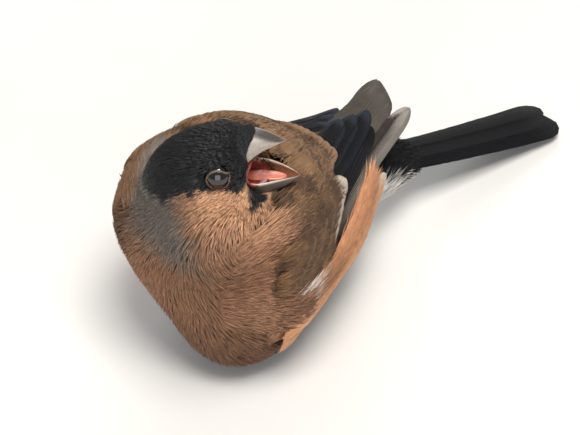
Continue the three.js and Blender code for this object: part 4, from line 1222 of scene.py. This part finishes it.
# Each half with the depth of its hollow and the tones of its sides and ridge. The horn is black: the sides'
# grey is painted sheen, far paler on the upper half, which faces the light.
HORNS = {"upper": (UPPER_BILL, 0.35, linear(152, 141, 132), linear(70, 64, 60)),
         "lower": (LOWER_BILL, 0.62, linear(88, 80, 76), linear(60, 55, 52))}
INNER_WIDTH, ARCH_POWER = 0.88, 0.8
bill_t = np.r_[-0.28, 1 - (1 - np.linspace(0, 1, 28)) ** 1.5][:, None]
arch, inner_arch = np.linspace(0, np.pi, 30), np.linspace(np.pi, 0, 30)[1:-1]
inside = np.arange(len(arch) + len(inner_arch)) >= len(arch)
across = np.r_[np.cos(arch), INNER_WIDTH * np.cos(inner_arch)]
for name, (half, hollow, side_tone_painted_sheen, ridge_tone) in HORNS.items():
    rise = np.r_[np.sin(arch) ** ARCH_POWER, hollow * np.sin(inner_arch) ** ARCH_POWER]
    points, faces = closed_tube(bill_place(half, bill_t, rise[None], across[None]))
    # Pale sides are painted sheen on the black horn; the ridge and the tip keep a darker tone.
    tone = blend(side_tone_painted_sheen, ridge_tone, eased(rise + 0.55 * bill_t, 0.95, 1.3) * ~inside)
    tone = blend(tone, HORN_INSIDE, inside * eased(rise, 0, 0.1))
    tone = blend(tone, HORN_EDGE, eased(rise, 0.1, 0.02) + 0 * bill_t)
    tone = np.concatenate([tone.reshape(-1, 3), tone[0].mean(0)[None], tone[-1].mean(0)[None]])
    piece(f"bill_{name}_horn", points, faces, HORN, tone, stands_for=[f"bill_{name}"])

# %% [markdown]
# Short black feathers and bristles stand round the base of the upper bill and lie forwards over it, so
# that they hide the nostrils. Finer ones fringe the base of the lower bill.

# %% Bristles


BRISTLE_FANS, BRISTLE_WIDTH = 5, 0.2


def fringe(name, half, arch_span, reach, count, seed):
    """Tufts that root behind the horn's visible base and lie forwards along it, just off the surface."""
    rng = np.random.default_rng(seed)
    fan = np.linspace(-1, 1, BRISTLE_FANS)
    a = np.pi * rng.uniform(*arch_span, (count, 1)) + 0.05 * rng.normal(size=(count, BRISTLE_FANS))
    line = reach * np.abs(np.sin(a)) ** 1.4 + 0.05
    first = -0.26 + (line[:, :1] + 0.18) * rng.random((count, 1)) + 0 * a
    last = np.minimum(first + rng.uniform(0.12, 0.2, a.shape), line + rng.uniform(-0.03, 0.06, a.shape))
    s = BARB_STATIONS[:, None, None]
    t = mixed(first, last, s)
    out = mixed(-0.3, rng.uniform(0.25, 0.7, a.shape), np.sqrt(s))
    turn = a + 0.06 * (fan * s)

    def at(angle):
        rise = np.sign(np.sin(angle)) * np.abs(np.sin(angle)) ** ARCH_POWER
        return bill_place(half, t, rise, np.cos(angle), out)

    path = at(turn)
    across = unit(at(turn + 0.02) - path)[0]
    along = unit(path[3] - path[0])
    thick = BRISTLE_WIDTH * rng.uniform(0.8, 1.2, a.shape)
    points, local = barb_points(path, across, np.cross(across, along), thick)
    coat_piece(name, path[0, :, 2], (points, local, fan + 0 * a), BLACK_CAP, CAP_COAT, seed)


fringe("coat_bristles_upper", UPPER_BILL, (-0.02, 1.02), 0.37, 1000, 251)
fringe("coat_bristles_lower", LOWER_BILL, (0.12, 0.88), 0.04, 320, 252)

# %% [markdown]
# Between the halves the gape is soft and pink. It is a cup of rings that narrows to the throat, with a
# fleshy rim at the corners. The tongue is a tapered pad with a groove, lifted off the floor of the mouth.

# %% Mouth and tongue

around = turn_round(56)


CORNERS_BACK, THROAT_RISE = 2.7, 0.21


def gape_ring(forward, up_radius, side_radius, rim):
    """One ring of the gape: its corners lie further back than its top and bottom by the rim's share."""
    corner = np.abs(np.cos(around)) ** 3
    rounded = np.sign(np.sin(around)) * np.abs(np.sin(around)) ** 0.85
    up = GAPE_CENTRE + up_radius * rounded - THROAT_RISE * (forward - 9)
    return head_point(forward - CORNERS_BACK * corner * rim, up, side_radius * np.cos(around))


# Rings from the throat out to the rim and back in: how far forward, half height, half width, rim's share
GAPE_RINGS = [
    (1.6, 1.6, 1.6, 0), (3.6, 3.2, 3.6, 0.2), (6.3, 3.9, 4.6, 0.6), (8.8, 4.05, 4.95, 1), (9.5, 4.0, 5.05, 1),
    (9.8, 3.8, 4.9, 1), (9.6, 3.6, 4.6, 1), (8.4, 3.45, 4.3, 0.9), (6.0, 3.2, 4.0, 0.6), (4.0, 2.4, 3.0, 0.3),
    (2.6, 1.0, 1.5, 0),
]
points, faces = closed_tube(np.stack([gape_ring(*ring) for ring in GAPE_RINGS]))
piece("mouth_skin", points, faces, MOUTH, stands_for=["mouth"])

TONGUE_HALF_LENGTH, TONGUE_HALF_WIDTH, TONGUE_HALF_HEIGHT, TONGUE_GROOVE = 4.6, 1.75, 0.75, 0.22
TONGUE_CENTRE, TONGUE_AXES = head_point(8.8, GAPE_CENTRE - 3.7, 0), nosed_down(26)
along = np.linspace(0.02, np.pi - 0.02, 30)[:, None]
turn = turn_round(28)
wide = TONGUE_HALF_WIDTH * np.sin(along) ** 0.8 * mixed(1.15, 0.75, along / np.pi)
groove = TONGUE_GROOVE * np.exp(-(np.sin(turn) - 1) ** 2 / 0.1) * np.sin(along)
height = TONGUE_HALF_HEIGHT * np.sin(along) * np.sin(turn) - groove
tongue = (TONGUE_CENTRE
          + (-TONGUE_HALF_LENGTH * np.cos(along))[..., None] * TONGUE_AXES[0]
          + height[..., None] * TONGUE_AXES[1]
          + (wide * np.cos(turn))[..., None] * TONGUE_AXES[2])
points, faces = closed_tube(tongue)
piece("tongue_pad", points, faces, TONGUE, stands_for=["tongue"])

# %% [markdown]
# The eye is a dark, wet ball set into its socket. A narrow bare ring of lid runs round the opening, with a
# small point at its front corner, and the feathers begin at its outer edge.

# %% Eyes


def ball(centre, radius, rings=28, size=40):
    """A sphere as closed rings about the head's up axis."""
    polar = np.linspace(0.04, np.pi - 0.04, rings)[:, None]
    turn = turn_round(size)
    return centre + radius * head_way(
        np.sin(polar) * np.cos(turn), np.cos(polar) + 0 * turn, np.sin(polar) * np.sin(turn))


LID_HALF_LENGTH, LID_HALF_HEIGHT, LID_POINT, LID_THICKNESS = 2.45, 2.4, 0.4, 0.2
LID_STEPS, LID_SIDES = 72, 14


def lid_ring(side):
    """A closed ring on the eyeball: an oval path with a point in front, and a round section."""
    looks = eye_way(side)
    ahead = tangent(head_forward, looks)
    above = tangent(head_up, looks)
    a = turn_round(LID_STEPS)
    point = LID_POINT * np.exp(-((np.minimum(a, 2 * np.pi - a)) / 0.25) ** 2)
    flat = np.stack([(LID_HALF_LENGTH + point) * np.cos(a), LID_HALF_HEIGHT * np.sin(a)], -1)
    rise = np.sqrt(np.maximum((EYE_RADIUS + 0.12) ** 2 - (flat**2).sum(-1), 0.2))
    path = eye_centre(side) + flat[:, :1] * ahead + flat[:, 1:] * above + rise[:, None] * looks
    along = unit(np.roll(path, -1, 0) - np.roll(path, 1, 0))
    outwards = unit(path - eye_centre(side))
    across = np.cross(along, outwards)
    b = turn_round(LID_SIDES)
    thick = LID_THICKNESS * (1 + 0.12 * np.sin(9 * a))
    section = np.cos(b)[None, :, None] * across[:, None] * 1.3 + np.sin(b)[None, :, None] * outwards[:, None]
    points = (path[:, None] + section * thick[:, None, None]).reshape(-1, 3)
    return points, face_out(points - eye_centre(side), [tube_faces(LID_STEPS, LID_SIDES, endless=True)])


for name, side in SIDES.items():
    points, faces = closed_tube(ball(eye_centre(side), EYE_RADIUS))
    piece(f"eyeball_{name}", points, faces, EYE, stands_for=[f"eye_{name}"])
    points, faces = lid_ring(side)
    piece(f"lid_{name}", points, faces, LID)

# %% [markdown]
# The legs are folded under the belly, and from the front they hardly show. They are tapered tubes with a
# swelling at each joint, and each toe ends in a curved claw.

# %% Legs and claws


def tube_rings(path, radii, size=16, rows=18):
    """Round rings along a path: its stations are made closer together by straight steps between them."""
    path, radii = np.asarray(path, float), np.asarray(radii, float)
    far = np.r_[0, np.cumsum(np.linalg.norm(np.diff(path, axis=0), axis=1))]
    at = np.linspace(0, far[-1], rows)
    line = np.stack([np.interp(at, far, path[:, k]) for k in range(3)], -1)
    wide = np.interp(at, far, radii)
    along = unit(np.gradient(line, axis=0))
    side = unit(np.cross(along, way(0.05, 0.02, 1)))
    above = np.cross(side, along)
    turn = turn_round(size)
    return line[:, None] + wide[:, None, None] * (
        np.cos(turn)[None, :, None] * side[:, None] + np.sin(turn)[None, :, None] * above[:, None])


def joined(tubes):
    """Several closed tubes as one mesh's points and faces."""
    points, faces, held = [], [], 0
    for rings in tubes:
        made, groups = closed_tube(rings)
        points.append(made)
        faces += [g + held for g in groups]
        held += len(made)
    return np.concatenate(points), faces


TARSUS_RADIUS = 1.15
# Heel and toe joint of each leg; each toe's degrees outwards, its length, its radius and its claw's length
LEGS = {"left": (way(19, -11.5, 4.6), way(3, -11.5, 2)), "right": (way(17.5, 10, 9.4), way(2.5, 10.5, 2))}
TOES = {"inner": (-16, 7.4, 0.85, 3.4), "middle": (2, 10.2, 0.9, 3.8), "outer": (22, 7.6, 0.8, 3.3),
        "hind": (165, 5.8, 0.95, 4.6)}
# Places along a shank, a toe and a claw, with the thickness at each; a claw also has its height
SHANK_AT, SHANK_WIDE = np.array([-0.06, 0.04, 0.15, 0.5, 0.85, 1]), np.array([1.35, 1.75, 1.25, 1, 1.05, 1.3])
TOE_AT, TOE_WIDE = np.array([0, 0.25, 0.5, 0.75, 1]), np.array([1.25, 1, 1.12, 0.92, 0.98])
CLAW_AT, CLAW_HIGH = np.array([0.08, 0.3, 0.65, 0.9, 1]), np.array([1, 1.15, 1, 0.6, 0.25])
CLAW_WIDE = [0.66, 0.6, 0.46, 0.3, 0.12]
leg_tubes, claw_tubes = [], []
for name, side in SIDES.items():
    heel, joint = LEGS[name]
    leg_tubes.append(tube_rings(mixed(heel, joint, SHANK_AT[:, None]), TARSUS_RADIUS * SHANK_WIDE))
    for outwards, reach, radius, claw in TOES.values():
        heading = way(-np.cos(np.radians(outwards)), side * np.sin(np.radians(outwards)), 0)
        toe = joint + heading * (reach * TOE_AT)[:, None]
        toe[1:, 2] = radius * 0.8
        leg_tubes.append(tube_rings(toe, radius * TOE_WIDE))
        curve = joint + heading * (reach + claw * CLAW_AT)[:, None]
        curve[:, 2] = radius * CLAW_HIGH
        claw_tubes.append(tube_rings(curve, CLAW_WIDE))
points, faces = joined(leg_tubes)
piece("legs", points, faces, LEG, stands_for=["leg_left", "leg_right"])
points, faces = joined(claw_tubes)
piece("claws", points, faces, CLAW, stands_for=[f"claw_{n}_{toe}" for n in SIDES for toe in TOES])

# %% [markdown]
# The camera looks down on the bird's left side from in front, at half a right angle, as the photograph does.
# The lights are soft and come mostly from above, so that the shadow is faint and close to the bird.

# %% Floor, light and camera

FLOOR = stained_material("pale_floor", (214, 212, 208), (224, 222, 218), 6, 0.8, bump=0.0, gloss=0.2)
bpy.ops.mesh.primitive_plane_add(size=4, location=(0, 0, 0))
floor = bpy.context.object
floor.name = "floor"
floor.data.materials.append(FLOOR)

CAMERA_RIGHT, CAMERA_UP = way(0.616, -0.788, 0), way(0.557, 0.435, 0.707)
CAMERA_BACK = way(-0.557, -0.435, 0.707)
CAMERA_TARGET, CAMERA_DISTANCE, CAMERA_LENS = way(-26.58, -8.62, 27.87), 600, 163.9
camera_data = bpy.data.cameras.new("camera")
camera_data.lens = CAMERA_LENS
camera_data.sensor_width = 36
camera_data.clip_end = 20
camera = bpy.data.objects.new("camera", camera_data)
turned = Matrix([CAMERA_RIGHT, CAMERA_UP, CAMERA_BACK]).transposed().to_4x4()
place = (CAMERA_TARGET + CAMERA_BACK * CAMERA_DISTANCE) * MM
camera.matrix_world = Matrix.Translation(Vector(place)) @ turned
bpy.context.scene.collection.objects.link(camera)
bpy.context.scene.camera = camera


def area_light(name, place, size, power, tint):
    """A square lamp that faces the bird."""
    data = bpy.data.lights.new(name, "AREA")
    data.energy, data.size, data.color = power, size, tint
    lamp = bpy.data.objects.new(name, data)
    lamp.location = place
    lamp.rotation_euler = (Vector((0, 0, 0.03)) - Vector(place)).to_track_quat("-Z", "Y").to_euler()
    bpy.context.scene.collection.objects.link(lamp)


area_light("key", (-0.1, -0.2, 0.95), 0.45, 10.5, (1, 0.97, 0.93))
area_light("front", (-0.7, -0.5, 0.35), 0.7, 3, (0.96, 0.98, 1))
area_light("rim", (0.5, 0.5, 0.5), 0.5, 2.5, (1, 1, 1))
world = bpy.data.worlds.new("studio")
world.use_nodes = True
world.node_tree.nodes["Background"].inputs["Color"].default_value = (0.8, 0.84, 0.9, 1)
world.node_tree.nodes["Background"].inputs["Strength"].default_value = 0.35
bpy.context.scene.world = world
bpy.context.scene.view_settings.view_transform = "Standard"
